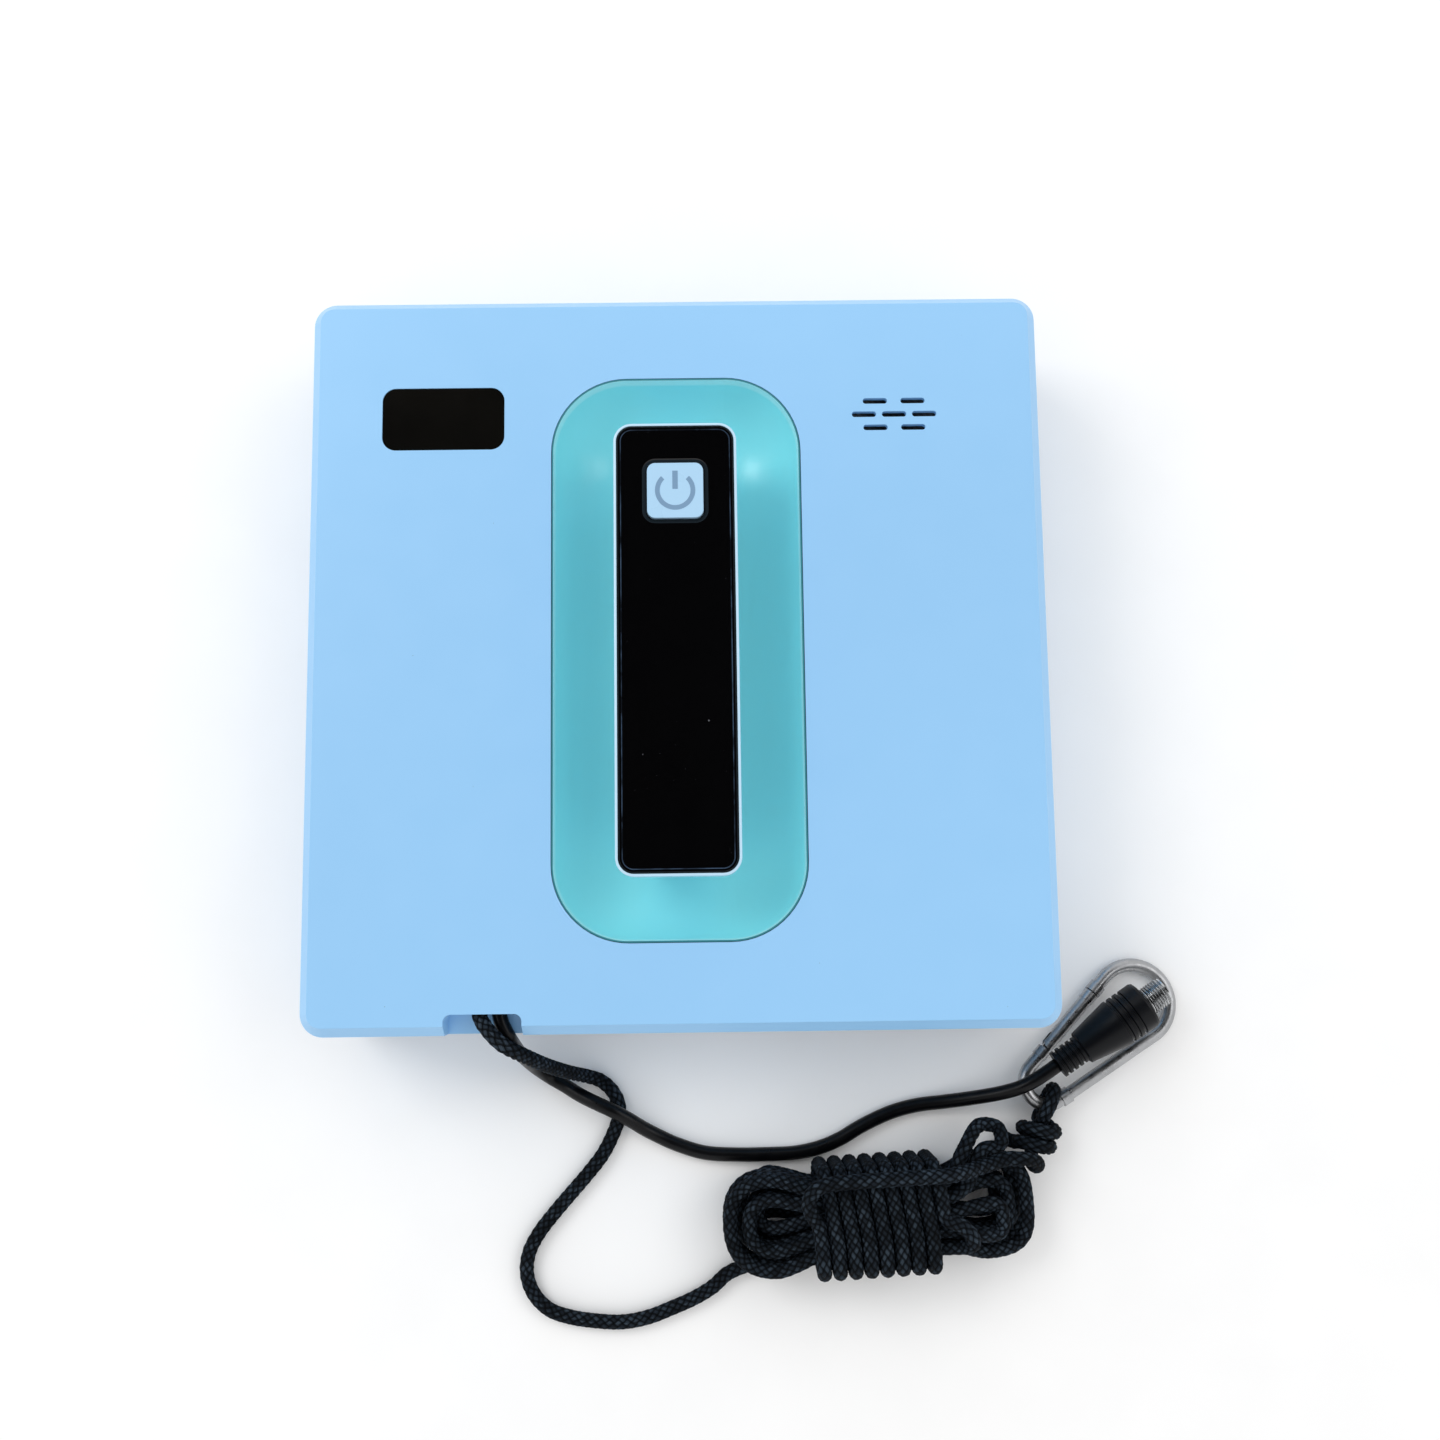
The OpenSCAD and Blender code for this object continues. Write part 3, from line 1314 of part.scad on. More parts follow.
// Cords
module cord_clamp() {
    color([0.25, 0.26, 0.28]) translate([notch_x - clamp_w / 2, clamp_y, rope_z + rope_d / 2 - clamp_h])
        difference() {
        cube([clamp_w, clamp_l, clamp_h]);
        for (x = [1, 7]) translate([x * clamp_w / 8, clamp_l / 2, -over])
            cylinder(r = screw_r, h = clamp_h + 2 * over);
    }
}

module dc_lead() {
    route = concat(lead_points, [connector_at - lead_d * connector_way, connector_at]);
    color(dark_color) tube(route, lead_d, 8);
}

module connector_place() {
    translate(connector_at) rotate([0, 90 - connector_rise, connector_turn]) children();
}

module dc_connector_grip() {
    full_l = neck_l + grip_l;
    rib = neck_l / 9;
    color(dark_color) connector_place() difference() {
        rotate_extrude() polygon(concat(
            [[0, 0], [neck_r, 0]],
            flat([for (i = [0 : 3]) let (z = (2 * i + 1) * rib) [
                [neck_r, z], [neck_r - grip_groove, z + rib * 0.2],
                [neck_r - grip_groove, z + rib * 0.8], [neck_r, z + rib]
            ]]),
            [[neck_r, neck_l], [neck_r + 1, neck_l + 0.5], [grip_r - 0.6, neck_l + grip_l * 0.42]],
            [[grip_r, neck_l + grip_l * 0.55]],
            flat([for (i = [0 : 2]) let (z = neck_l + grip_l * 0.58 + i * 2 * grip_groove_w) [
                [grip_r, z], [grip_r - grip_groove, z + grip_groove_w * 0.2],
                [grip_r - grip_groove, z + grip_groove_w * 0.8], [grip_r, z + grip_groove_w]
            ]]),
            [[grip_r, full_l - 1.2], [grip_r - 0.35, full_l - 0.35], [grip_r - 1.2, full_l], [0, full_l]]
        ));
        translate([0, 0, full_l - nose_in]) cylinder(r = nose_r + fit / 4, h = nose_in + over);
    }
}

module dc_connector_nose() {
    color(metal_color) connector_place() translate([0, 0, neck_l + grip_l - nose_in]) difference() {
        cylinder(r = nose_r, h = nose_in + nose_l);
        translate([0, 0, nose_in]) cylinder(r = nose_bore_r, h = nose_l + over);
    }
}

module rope_lead() {
    route = concat(rope_points, [hank_in - rope_d * hank_way, hank_in]);
    color(dark_color) tube(route, rope_d, 8);
}

module rope_hank() {
    echo(str("Least gap of the hank to itself, mm: ", least_gap(hank_points, hank_points, fold_steps - 1) - rope_d));
    color(dark_color) tube(hank_points, rope_d, 6);
}

module rope_wrap() {
    echo(str("Least gap of the winding to itself, mm: ", least_gap(wind_points, wind_points, 4) - rope_d));
    echo(str("Least gap of the winding to the hank, mm: ",
        least_gap([for (i = [3 : len(wind_points) - 1]) wind_points[i]],
        [for (i = [0 : len(hank_points) - 2]) hank_points[i]], 0) - rope_d));
    color(dark_color) tube(wind_points, rope_d, 6);
}

module rope_tail() {
    echo(str("Least gap of the tail to the winding, mm: ",
        least_gap([for (i = [3 : len(tail_points) - 1]) tail_points[i]],
        wind_points, 0) - rope_d));
    echo(str("Least gap of the tail to the hank, mm: ", least_gap(tail_points, hank_points, 0) - rope_d));
    color(dark_color) tube(tail_points, rope_d, 8);
}

module hook_place() {
    translate(hook_at) rotate([0, hook_tilt, hook_turn]) children();
}

module rope_knot() {
    echo(str("Least gap of the knot to itself, mm: ", least_gap(knot_points, knot_points, 3) - rope_d));
    color(dark_color) tube(knot_points, rope_d, 6);
}

// Hook: a bent wire with a hinged gate, in a plane of its own
module bend(r, from, to) {
    rotate([0, 0, from]) rotate_extrude(angle = to - from) translate([r, 0]) circle(d = wire_d);
}

module along_side(s) {
    rotate([0, 0, hook_lean]) translate([0, hook_small_r, 0]) translate([s, 0, 0]) children();
}

module rod(r, l) {
    rotate([0, 90, 0]) cylinder(r = r, h = l);
}

module carabiner_body() {
    tongue_t = wire_d * tongue_t_share;
    shoulder = gate_at - wire_d * tongue_back_share;
    nose = gate_at + gate_l + gate_end_gap;
    color(metal_color) hook_place() difference() {
        union() {
            bend(hook_small_r, 90 + hook_lean, 270 - hook_lean);
            translate([hook_l, 0, 0]) bend(hook_big_r, -90 - hook_lean, 90 + hook_lean);
            mirror([0, 1, 0]) along_side(-rod_lap) rod(rod_r, side_l + 2 * rod_lap);
            along_side(-rod_lap) rod(rod_r, shoulder - over + rod_lap);
            along_side(shoulder - collar_l) rod(wire_d / 2 + collar_grow / 2, collar_l);
            along_side(nose + over) rod(rod_r, side_l - nose - over + rod_lap);
            along_side(nose) rod(wire_d / 2 + collar_grow, collar_l);
            mirror([0, 1, 0]) along_side(over) rod(wire_d / 2 + collar_grow, collar_l);
            along_side(shoulder - over) translate([-over / 2, -wire_d * tongue_w_share / 2, -tongue_t / 2])
                cube([gate_at - shoulder + 1.5 * over, wire_d * tongue_w_share, tongue_t]);
            along_side(gate_at) cylinder(r = wire_d * tongue_w_share * 0.53, h = tongue_t, center = true);
        }
        along_side(gate_at) cylinder(r = gate_pin_r + running, h = wire_d, center = true);
    }
}

module carabiner_gate() {
    slot = wire_d * tongue_t_share + 2 * fit;
    color(metal_color) hook_place() along_side(gate_at) difference() {
        union() {
            rod(wire_d / 2, gate_l);
            translate([gate_l - collar_l, 0, 0]) rod(wire_d / 2 + collar_grow / 2, collar_l);
            intersection() {
                translate([-wire_d, 0, 0]) rod(wire_d / 2, 2 * wire_d);
                cylinder(r = wire_d / 2 - fit / 4, h = wire_d, center = true);
            }
        }
        translate([-wire_d, -wire_d, -slot / 2]) cube([wire_d * 1.62, 2 * wire_d, slot]);
        cylinder(r = gate_pin_r + fit / 10, h = 2 * wire_d, center = true);
    }
}

module carabiner_pin() {
    color(metal_color) hook_place() along_side(gate_at)
        cylinder(r = gate_pin_r, h = wire_d * 0.96, center = true);
}

top_cover();
base_shell();
handle_tray();
handle_frame();
handle_panel();
handle_screws();
power_button();
button_switch();
button_board();
indicator_window();
indicator_board();
speaker();
main_board();
battery_cells();
battery_holder();
fan_housing();
fan_cover();
fan_impeller();
fan_shaft();
fan_motor();
intake_grille();
intake_gasket();
left_gearmotor();
right_gearmotor();
left_drive_shaft();
right_drive_shaft();
left_drive_wheel();
right_drive_wheel();
left_idler_wheel();
right_idler_wheel();
left_idler_axle();
right_idler_axle();
left_track();
right_track();
left_track_guide();
right_track_guide();
shaft_bushes();
cleaning_pad();
pad_hook_tape();
front_left_edge_pin();
front_right_edge_pin();
rear_left_edge_pin();
rear_right_edge_pin();
edge_pin_sleeves();
base_screws();
cord_clamp();
dc_lead();
dc_connector_grip();
dc_connector_nose();
rope_lead();
rope_hank();
rope_wrap();
rope_tail();
rope_knot();
carabiner_body();
carabiner_gate();
carabiner_pin();
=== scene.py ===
import math

import bmesh
import bpy
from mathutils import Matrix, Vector, noise


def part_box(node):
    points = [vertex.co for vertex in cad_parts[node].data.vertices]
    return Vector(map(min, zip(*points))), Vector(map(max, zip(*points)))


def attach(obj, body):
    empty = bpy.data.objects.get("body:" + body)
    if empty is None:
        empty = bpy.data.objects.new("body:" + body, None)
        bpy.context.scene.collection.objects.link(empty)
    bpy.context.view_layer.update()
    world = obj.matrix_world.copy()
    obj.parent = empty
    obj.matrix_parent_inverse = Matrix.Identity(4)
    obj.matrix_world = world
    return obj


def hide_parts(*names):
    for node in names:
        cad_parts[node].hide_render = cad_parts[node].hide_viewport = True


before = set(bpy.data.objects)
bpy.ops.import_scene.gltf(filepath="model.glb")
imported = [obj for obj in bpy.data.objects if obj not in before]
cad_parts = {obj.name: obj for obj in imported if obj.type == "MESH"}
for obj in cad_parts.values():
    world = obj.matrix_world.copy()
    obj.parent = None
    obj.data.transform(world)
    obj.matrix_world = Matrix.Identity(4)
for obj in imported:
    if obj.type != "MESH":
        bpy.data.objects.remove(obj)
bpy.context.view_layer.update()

# Window cleaning robot: camera, cords, materials, small trim, pad and tape, floor and lamps.
# Lengths are in millimetres, as in the part's source, and MM turns them into metres.
# Colours are 8 bit display values, and linear() turns them into the renderer's.
MM = 0.001


# Camera: the photograph's place, direction and lens
SENSOR_W = 36.0
LENS = 36.85
CAMERA_AT = (0.01006, -0.08095, 0.5235)
CAMERA_TURN = (7.23, -0.30, -0.75)

camera_data = bpy.data.cameras.new("camera")
camera_data.sensor_fit = "HORIZONTAL"
camera_data.sensor_width = SENSOR_W
camera_data.lens = LENS
camera = bpy.data.objects.new("camera", camera_data)
camera.location = CAMERA_AT
camera.rotation_euler = [math.radians(a) for a in CAMERA_TURN]
bpy.context.scene.collection.objects.link(camera)
bpy.context.scene.camera = camera
bpy.context.scene.view_settings.view_transform = "Standard"


# Cord maths, with the same values as in the part's source
def ease(t):
    t = min(1.0, max(0.0, t))
    return t * t * (3 - 2 * t)


def mix(a, b, t):
    return a + (b - a) * t


def turned(p, degrees):
    a = math.radians(degrees)
    return Vector((p[0] * math.cos(a) - p[1] * math.sin(a), p[0] * math.sin(a) + p[1] * math.cos(a), p[2]))


ROPE_D = 4.6
LEAD_D = 4.8
BODY_H = 56.0
WALL = 2.2
HALF_L = 120.0
NOTCH_IN = 6.8
NOTCH_DEEP = 10.0
NOTCH_Y = -(HALF_L - NOTCH_IN)
CLAMP_IN = 3
CLAMP_Y = NOTCH_Y + WALL + CLAMP_IN
HOLE_GAP = 0.2
ROPE_LOWER = 0.1
ROPE_Z = BODY_H - WALL - ROPE_D / 2 - HOLE_GAP - ROPE_LOWER
LEAD_Z = BODY_H - NOTCH_DEEP + LEAD_D / 2 + HOLE_GAP

CONNECTOR_AT = Vector((126.2, -135.4, 15.1))
CONNECTOR_TURN = 33.6
CONNECTOR_RISE = 1.6
NECK_L = 9.5
GRIP_L = 27.0
NOSE_L = 8.0
NOSE_R = 4.5

LEAD_POINTS = [
    (-57.8, CLAMP_Y, LEAD_Z), (-57.8, -113, LEAD_Z), (-57.2, -115.8, 48.6), (-56.2, -118.2, 48.4),
    (-55, -120.8, 47.4), (-54.4, -123.4, 42), (-53.9, -126.8, 32), (-52.8, -130.5, 20),
    (-50.3, -134.7, 9.6), (-46.3, -138.4, 4), (-41, -141.5, 4), (-36.2, -144.2, 5.8), (-30, -147, 7.8),
    (-24.6, -149.4, 8.4), (-19.2, -152.6, 6.8), (-14, -156.2, 4), (-8.6, -159.2, 2.6), (-3, -161.7, 2.5),
    (6.5, -164.6, 2.5), (17, -165.4, 2.5), (28, -165.4, 2.5), (38, -165, 2.5), (46.5, -163.2, 2.5),
    (53, -160.6, 2.5), (59.4, -157, 2.5), (66, -153.8, 2.5), (72.4, -151.4, 2.5), (80, -149.6, 2.8),
    (89, -148.4, 4.4), (96.8, -147.2, 6.6), (104, -145.8, 9.2), (109.4, -144.4, 11.6),
    (114, -142.7, 13.6), (118, -140.6, 14.7),
]

ROPE_POINTS = [
    (-63.7, CLAMP_Y, ROPE_Z), (-63.7, -113, ROPE_Z), (-63, -115.4, 51.3), (-61.3, -117.8, 51.8),
    (-59, -120.3, 52.6), (-56.3, -122.7, 52.8), (-53.1, -124.9, 50.6), (-50, -127.2, 45),
    (-46.2, -130.3, 36), (-42.6, -133.2, 25), (-38, -136, 14), (-33.6, -138, 6), (-29.2, -139.9, 2.8),
    (-25.3, -143.3, 2.5), (-23, -148, 2.5), (-23.2, -153, 2.5), (-25, -158, 2.5),
    (-28.5, -164.6, 2.5), (-33.7, -171.1, 2.5), (-39.9, -178, 2.5), (-45.1, -183.9, 2.5),
    (-50.3, -190.4, 2.5), (-53.7, -196.9, 2.5), (-54.4, -203.8, 2.5), (-52, -210.4, 2.5),
    (-46.8, -215.5, 2.5), (-39.9, -218, 2.5), (-30.4, -219.5, 2.5), (-21.7, -219.9, 2.5),
    (-13.1, -218.4, 2.5), (-5.3, -215.6, 2.5), (2.5, -212.4, 2.5), (8.8, -208.8, 2.5), (13.8, -204.6, 2.5),
]

# Hank: runs from end to end, each with its row and its layer at the start and at the end
HANK_RUNS = [
    (-2, 0, 0), (2, 0, 0), (1, 0, 0), (-1, 0, 0), (0, 0, 1),
    (1, 1, 1), (-1, 1, 1), (2, 1, 1), (-2, 1, 2),
    (2, 2, 2), (-1, 2, 2), (1, 2, 2), (0, 2, 3),
    (-1, 3, 3), (1, 3, 3), (2, 3, 3), (-2, 3, 3),
]
LAST_RUN = len(HANK_RUNS) - 1
HANK_AT = Vector((64.5, -183, 0))
HANK_TURN = 2.9
END_X = 35.4
WAIST_X = 22.6
SIDE_X = 28.6
RUN_X = (-END_X, -SIDE_X, -WAIST_X, 0, WAIST_X, SIDE_X, END_X)
LAST_RUN_X = RUN_X[:5]     # the last run ends at the waist, where the winding takes over
LAYER = 5.3
WAIST_PITCH = 5.2
SPREAD_FROM = 20.4
FOLD = (1.8, 8.2, 14.5)
FOLD_STEPS = 6
BLUNT_LEFT = 0.85
BLUNT_RIGHT = 0.62
LEFT_SHIFT = -0.7
SAG_FROM = 16.0
SAG_TO = 50.0
ENTRY_OUT = 6
ENTRY_ASIDE = 0.5
ENTRY_RISE = 1.4

# Two loose strands at the hank's right end
SLACK = 12.0
SLACK_INNER = 11.0
SLACK_LAG = 6.0
SLACK_REACH = 7.0
SLACK_DROOP = 6.0
DROOP_FROM = 19.2

# Winding round the hank's waist
TURNS = 8
TURN_PITCH = 5.15
WIND_GAP = 5.8
WIND_R = 6.0
TOP_ADVANCE = 0.5
TOP_STEPS = 4
CORNER_STEPS = 3
FLOOR_GAP = 0.1
WIND_LOW = ROPE_D / 2 + FLOOR_GAP
HANK_LOW = WIND_LOW + WIND_GAP
WIND_HALF_W = 2 * WAIST_PITCH + WIND_GAP
WIND_HALF_H = (3 * LAYER + 2 * WIND_GAP) / 2
WIND_MID = WIND_LOW + WIND_HALF_H
WIND_ENTRY = [(3.4, -10.6, 24.4), (6, -9.4, 27), (5.4, -6, 29.4), (2.6, -2.8, 29.9)]
WIND_EXIT = [(-22.4, 2.4, 30.4), (-24, 6, 32.2), (-23.8, 9.8, 34.2)]

TAIL_LOCAL = [
    (-21.2, 12.8, 35), (-17, 14, 35.2), (-8, 14.2, 35), (2, 14.2, 35), (12, 14.2, 35),
    (21, 14.1, 34.8), (27, 14.2, 31.4), (32, 14.6, 27.4), (37, 15.2, 25), (42.4, 16.4, 24.2),
]
TAIL_END = [
    (111.4, -164.6, 24.4), (115.2, -165.4, 22), (117.6, -167.4, 17.6), (118, -168.9, 12.8),
    (117.4, -168.4, 9.2),
]

# Knot: a loop through the hook's eye and a coil round the rope that comes to it
EYE_AT = Vector((123.8, -149.4, 7.75))
KNOT_TURN = -112.0
KNOT_LOOP = [
    (16, 0, 0), (11.5, 0, 0), (6.6, 0, 0), (4.5, -0.4, 2), (2.2, -0.6, 4.5), (-1.4, -0.3, 4.9),
    (-4.4, -0.1, 3.2), (-5.6, 0.1, 0), (-4.4, 0.2, -3.3), (-1.4, 0.2, -5), (2.2, 0.2, -5.1),
]
KNOT_END = [(0.5, -0.1, -3.4), (0.8, -2.3, -4.8), (0.9, -5.7, -5.2)]
COIL_FROM = 6.2
COIL_PITCH = 5.1
COIL_R = 5.3
COIL_TURNS = 1.8
COIL_STEPS = 10
COIL_START = -90


def laid(p):
    """A point of the hank's own frame, laid in its place."""
    return HANK_AT + turned(p, HANK_TURN)


def fold_y(i, x):
    """How far aside run i is where it turns back at the end that x is on."""
    row = HANK_RUNS[i][0]
    if row == 0:
        return (-1 if i < LAST_RUN / 2 else 1) * (x > 0 or -1) * FOLD[0]
    return math.copysign(FOLD[abs(row)], row)


def slack_of(i, x):
    return {LAST_RUN - 1: SLACK, LAST_RUN - 2: SLACK_INNER}.get(i, 0.0) if x > 0 else 0.0


def run_y(i, x):
    spread = ease((abs(x) - SPREAD_FROM) / (END_X - SPREAD_FROM))
    y = mix(HANK_RUNS[i][0] * WAIST_PITCH, fold_y(i, x), spread)
    y += LEFT_SHIFT * spread if x < 0 else 0
    slack_from = SPREAD_FROM + (SLACK_LAG if i == LAST_RUN - 2 else 0)
    return y + slack_of(i, x) * ease((x - slack_from) / (END_X - slack_from))


def layer_z(layer, x):
    """Height of a layer, which comes down outside the winding."""
    sag = (HANK_LOW - WIND_LOW) * ease((abs(x) - SAG_FROM) / (SAG_TO - SAG_FROM))
    return HANK_LOW + LAYER * layer - sag


def droop(y):
    return SLACK_DROOP * ease((y - DROOP_FROM) / SLACK)


def run_point(i, x):
    way = 1 if i % 2 == 0 else -1
    t = (way * x + END_X) / (2 * END_X)
    y = run_y(i, x)
    z = layer_z(mix(HANK_RUNS[i][1], HANK_RUNS[i][2], ease(t)), x)
    return Vector((x, y, z - (droop(y) if slack_of(i, x) > 0 else 0)))


def fold_points(i):
    """The turn from run i to the next, a blunt half circle."""
    end = 1 if i % 2 == 0 else -1
    a, b = run_y(i, end * END_X), run_y(i + 1, end * END_X)
    loose = slack_of(i + 1, end) > 0 and slack_of(i, end) > 0
    blunt = BLUNT_LEFT if end < 0 else BLUNT_RIGHT
    reach = SLACK_REACH if loose else abs(b - a) / 2
    points = []
    for k in range(1, FOLD_STEPS):
        across, out = math.cos(math.pi * k / FOLD_STEPS), math.sin(math.pi * k / FOLD_STEPS)
        x = end * (END_X + reach * out ** blunt)
        y = (a + b) / 2 + (a - b) / 2 * math.copysign(abs(across) ** blunt, across)
        points.append(Vector((x, y, layer_z(HANK_RUNS[i][2], x) - (droop(y) if loose else 0))))
    return points


def hank_points():
    points = [Vector((-END_X - ENTRY_OUT, run_y(0, -END_X) - ENTRY_ASIDE, WIND_LOW + ENTRY_RISE))]
    for i in range(LAST_RUN):
        points += [run_point(i, x if i % 2 == 0 else -x) for x in RUN_X] + fold_points(i)
    return points + [run_point(LAST_RUN, x) for x in LAST_RUN_X]


def corner(cx, cz, degrees):
    """A quarter turn of the winding's outline, as across and height."""
    turns = [math.radians(degrees + 90 / CORNER_STEPS * k) for k in range(CORNER_STEPS + 1)]
    return [(cx + WIND_R * math.sin(a), cz + WIND_R * math.cos(a)) for a in turns]


def side(a, b, n):
    """n points between a and b, without the two."""
    return [(mix(a[0], b[0], k / (n + 1)), mix(a[1], b[1], k / (n + 1))) for k in range(1, n + 1)]


def wind_points():
    cx, cz = WIND_HALF_W - WIND_R, WIND_HALF_H - WIND_R
    flat = TOP_STEPS - 1
    loop = (
        side((-cx, WIND_HALF_H), (cx, WIND_HALF_H), flat) + corner(cx, cz, 0)
        + side((WIND_HALF_W, cz), (WIND_HALF_W, -cz), 1) + corner(cx, -cz, 90)
        + side((cx, -WIND_HALF_H), (-cx, -WIND_HALF_H), flat) + corner(-cx, -cz, 180)
        + side((-WIND_HALF_W, -cz), (-WIND_HALF_W, cz), 1) + corner(-cx, cz, 270)
    )
    n = len(loop)
    points = [Vector((WAIST_X + x, y, z)) for x, y, z in WIND_ENTRY]
    for k in range(1, TURNS * n + 2):
        i, turn = k % n, k // n
        if i < TOP_STEPS:
            on = TOP_ADVANCE * i / TOP_STEPS
        else:
            on = TOP_ADVANCE + (1 - TOP_ADVANCE) * (i - TOP_STEPS) / (n - TOP_STEPS)
        x = TURNS * TURN_PITCH / 2 - TURN_PITCH * (turn + on)
        points.append(Vector((x, loop[i][0], WIND_MID + loop[i][1])))
    return points + [Vector(p) for p in WIND_EXIT]


def knot_points():
    points = list(KNOT_LOOP)
    for k in range(int(COIL_TURNS * COIL_STEPS) + 1):
        a = math.radians(COIL_START + 360 / COIL_STEPS * k)
        points.append((COIL_FROM + COIL_PITCH * k / COIL_STEPS, COIL_R * math.cos(a), COIL_R * math.sin(a)))
    end = COIL_FROM + COIL_PITCH * COIL_TURNS
    points += [(end + x, -COIL_R + y, z) for x, y, z in KNOT_END]
    return [EYE_AT + turned(p, KNOT_TURN) for p in points]


# Meshes
SAME_POINT = 0.05
FINE_STEP = 0.2
FIRST_NORMAL = Vector((0.1, 0.2, 1.0))
END_DOME = 0.35


def smooth(points, step):
    """Points at even steps, in metres, on a centripetal spline through points in millimetres."""
    p = [Vector(q) for q in points]
    p = [q for i, q in enumerate(p) if i == 0 or (q - p[i - 1]).length > SAME_POINT]
    p = [2 * p[0] - p[1]] + p + [2 * p[-1] - p[-2]]
    fine = []
    for i in range(1, len(p) - 2):
        a, b, c, d = p[i - 1:i + 3]
        t0 = 0.0
        t1 = t0 + (b - a).length ** 0.5
        t2 = t1 + (c - b).length ** 0.5
        t3 = t2 + (d - c).length ** 0.5
        n = max(2, int((c - b).length / FINE_STEP))
        for k in range(n):
            t = mix(t1, t2, k / n)
            ab = a.lerp(b, (t - t0) / (t1 - t0))
            bc = b.lerp(c, (t - t1) / (t2 - t1))
            cd = c.lerp(d, (t - t2) / (t3 - t2))
            abc = ab.lerp(bc, (t - t0) / (t2 - t0))
            bcd = bc.lerp(cd, (t - t1) / (t3 - t1))
            fine.append(abc.lerp(bcd, (t - t1) / (t2 - t1)))
    fine.append(p[-2])
    total = sum((b - a).length for a, b in zip(fine, fine[1:]))
    count = max(2, round(total / step))
    out, at, k = [fine[0]], 0.0, 0
    for i in range(1, count):
        want = total * i / count
        while at + (fine[k + 1] - fine[k]).length < want:
            at += (fine[k + 1] - fine[k]).length
            k += 1
        out.append(fine[k].lerp(fine[k + 1], (want - at) / (fine[k + 1] - fine[k]).length))
    out.append(fine[-1])
    return [q * MM for q in out], total * MM


def along(path):
    """The direction and two square directions at each point, without twist."""
    ways = [(path[min(i + 1, len(path) - 1)] - path[max(i - 1, 0)]).normalized() for i in range(len(path))]
    n = FIRST_NORMAL
    out = []
    for t in ways:
        n = (n - n.dot(t) * t).normalized()
        out.append((t, n, t.cross(n)))
    return out


def new_object(name, mesh):
    obj = bpy.data.objects.new(name, mesh)
    bpy.context.scene.collection.objects.link(obj)
    return obj


def tube_faces(rows, sides):
    """Faces between rings of points that lie ring after ring."""
    faces = []
    for i in range(rows):
        for k in range(sides):
            m = (k + 1) % sides
            faces.append((i * sides + k, i * sides + m, (i + 1) * sides + m, (i + 1) * sides + k))
    return faces


def tube(name, path, radius, sides, relief, length):
    """A tube along path, with relief(along, round) added to its radius, and UVs in metres and turns."""
    frames = along(path)
    rows = len(path) - 1
    verts, uvs = [], []
    for i, (p, (_, n, b)) in enumerate(zip(path, frames)):
        for k in range(sides):
            a = 2 * math.pi * k / sides
            verts.append(p + (radius + relief(i, k)) * (math.cos(a) * n + math.sin(a) * b))
    faces = tube_faces(rows, sides)
    for i in range(rows):
        v0, v1 = i / rows * length, (i + 1) / rows * length
        for k in range(sides):
            uvs += [(v0, k / sides), (v0, (k + 1) / sides), (v1, (k + 1) / sides), (v1, k / sides)]
    last = len(verts)
    for end, base in ((0, 0), (1, rows * sides)):
        t = frames[-1][0] if end else -frames[0][0]
        verts.append((path[-1] if end else path[0]) + END_DOME * radius * t)
        for k in range(sides):
            m = (k + 1) % sides
            faces.append((base + k, base + m, last + end) if end else (base + m, base + k, last + end))
            uvs += [(0, k / sides), (0, m / sides), (0, 0.5)]
    mesh = bpy.data.meshes.new(name)
    mesh.from_pydata([tuple(v) for v in verts], [], faces)
    layer = mesh.uv_layers.new(name="UVMap")
    for loop, uv in zip(layer.data, uvs):
        loop.uv = uv
    mesh.polygons.foreach_set("use_smooth", [True] * len(mesh.polygons))
    mesh.update()
    return new_object(name, mesh)


# The rope's braid: carriers over and under each other in a chequer of long diamonds
BRAID_ROUND = 6
BRAID_SIDES = 24
BRAID_FILAMENTS = 4
BRAID_STEP = 3.0
BRAID_RELIEF = 0.42 * MM
BRAID_MEAN = 0.55
ON_EDGE = 1e-6
PER_CELL = BRAID_SIDES // BRAID_ROUND


def braid(i, k):
    a, b = (i + k) / PER_CELL, (i - k) / PER_CELL
    across = (a if (math.floor(a) + math.floor(b)) % 2 == 0 else b) % 1.0
    on_edge = abs(a - round(a)) < ON_EDGE or abs(b - round(b)) < ON_EDGE
    bulge = 1 - (2 * across - 1) ** 2
    return BRAID_RELIEF * ((0.0 if on_edge else bulge) - BRAID_MEAN)


rope_route = (
    ROPE_POINTS + [laid(p) for p in hank_points() + wind_points() + TAIL_LOCAL] + TAIL_END + knot_points()
)
rope_path, rope_length = smooth(rope_route, BRAID_STEP / PER_CELL)
rope = tube("safety_rope", rope_path, ROPE_D / 2 * MM, BRAID_SIDES, braid, rope_length)
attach(rope, "robot")
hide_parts("rope_lead", "rope_hank", "rope_wrap", "rope_tail", "rope_knot")

LEAD_SIDES = 32
LEAD_STEP = 1.0
connector_way = Vector((
    math.cos(math.radians(CONNECTOR_TURN)) * math.cos(math.radians(CONNECTOR_RISE)),
    math.sin(math.radians(CONNECTOR_TURN)) * math.cos(math.radians(CONNECTOR_RISE)),
    math.sin(math.radians(CONNECTOR_RISE)),
))
lead_route = LEAD_POINTS + [CONNECTOR_AT - LEAD_D * connector_way, CONNECTOR_AT]
lead_path, lead_length = smooth(lead_route, LEAD_STEP)
lead = tube("dc_lead_jacket", lead_path, LEAD_D / 2 * MM, LEAD_SIDES, lambda i, k: 0.0, lead_length)
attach(lead, "robot")
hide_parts("dc_lead")


# Materials
NOISE_LOW, NOISE_HIGH = 0.3, 0.7     # where soft noise mostly lies


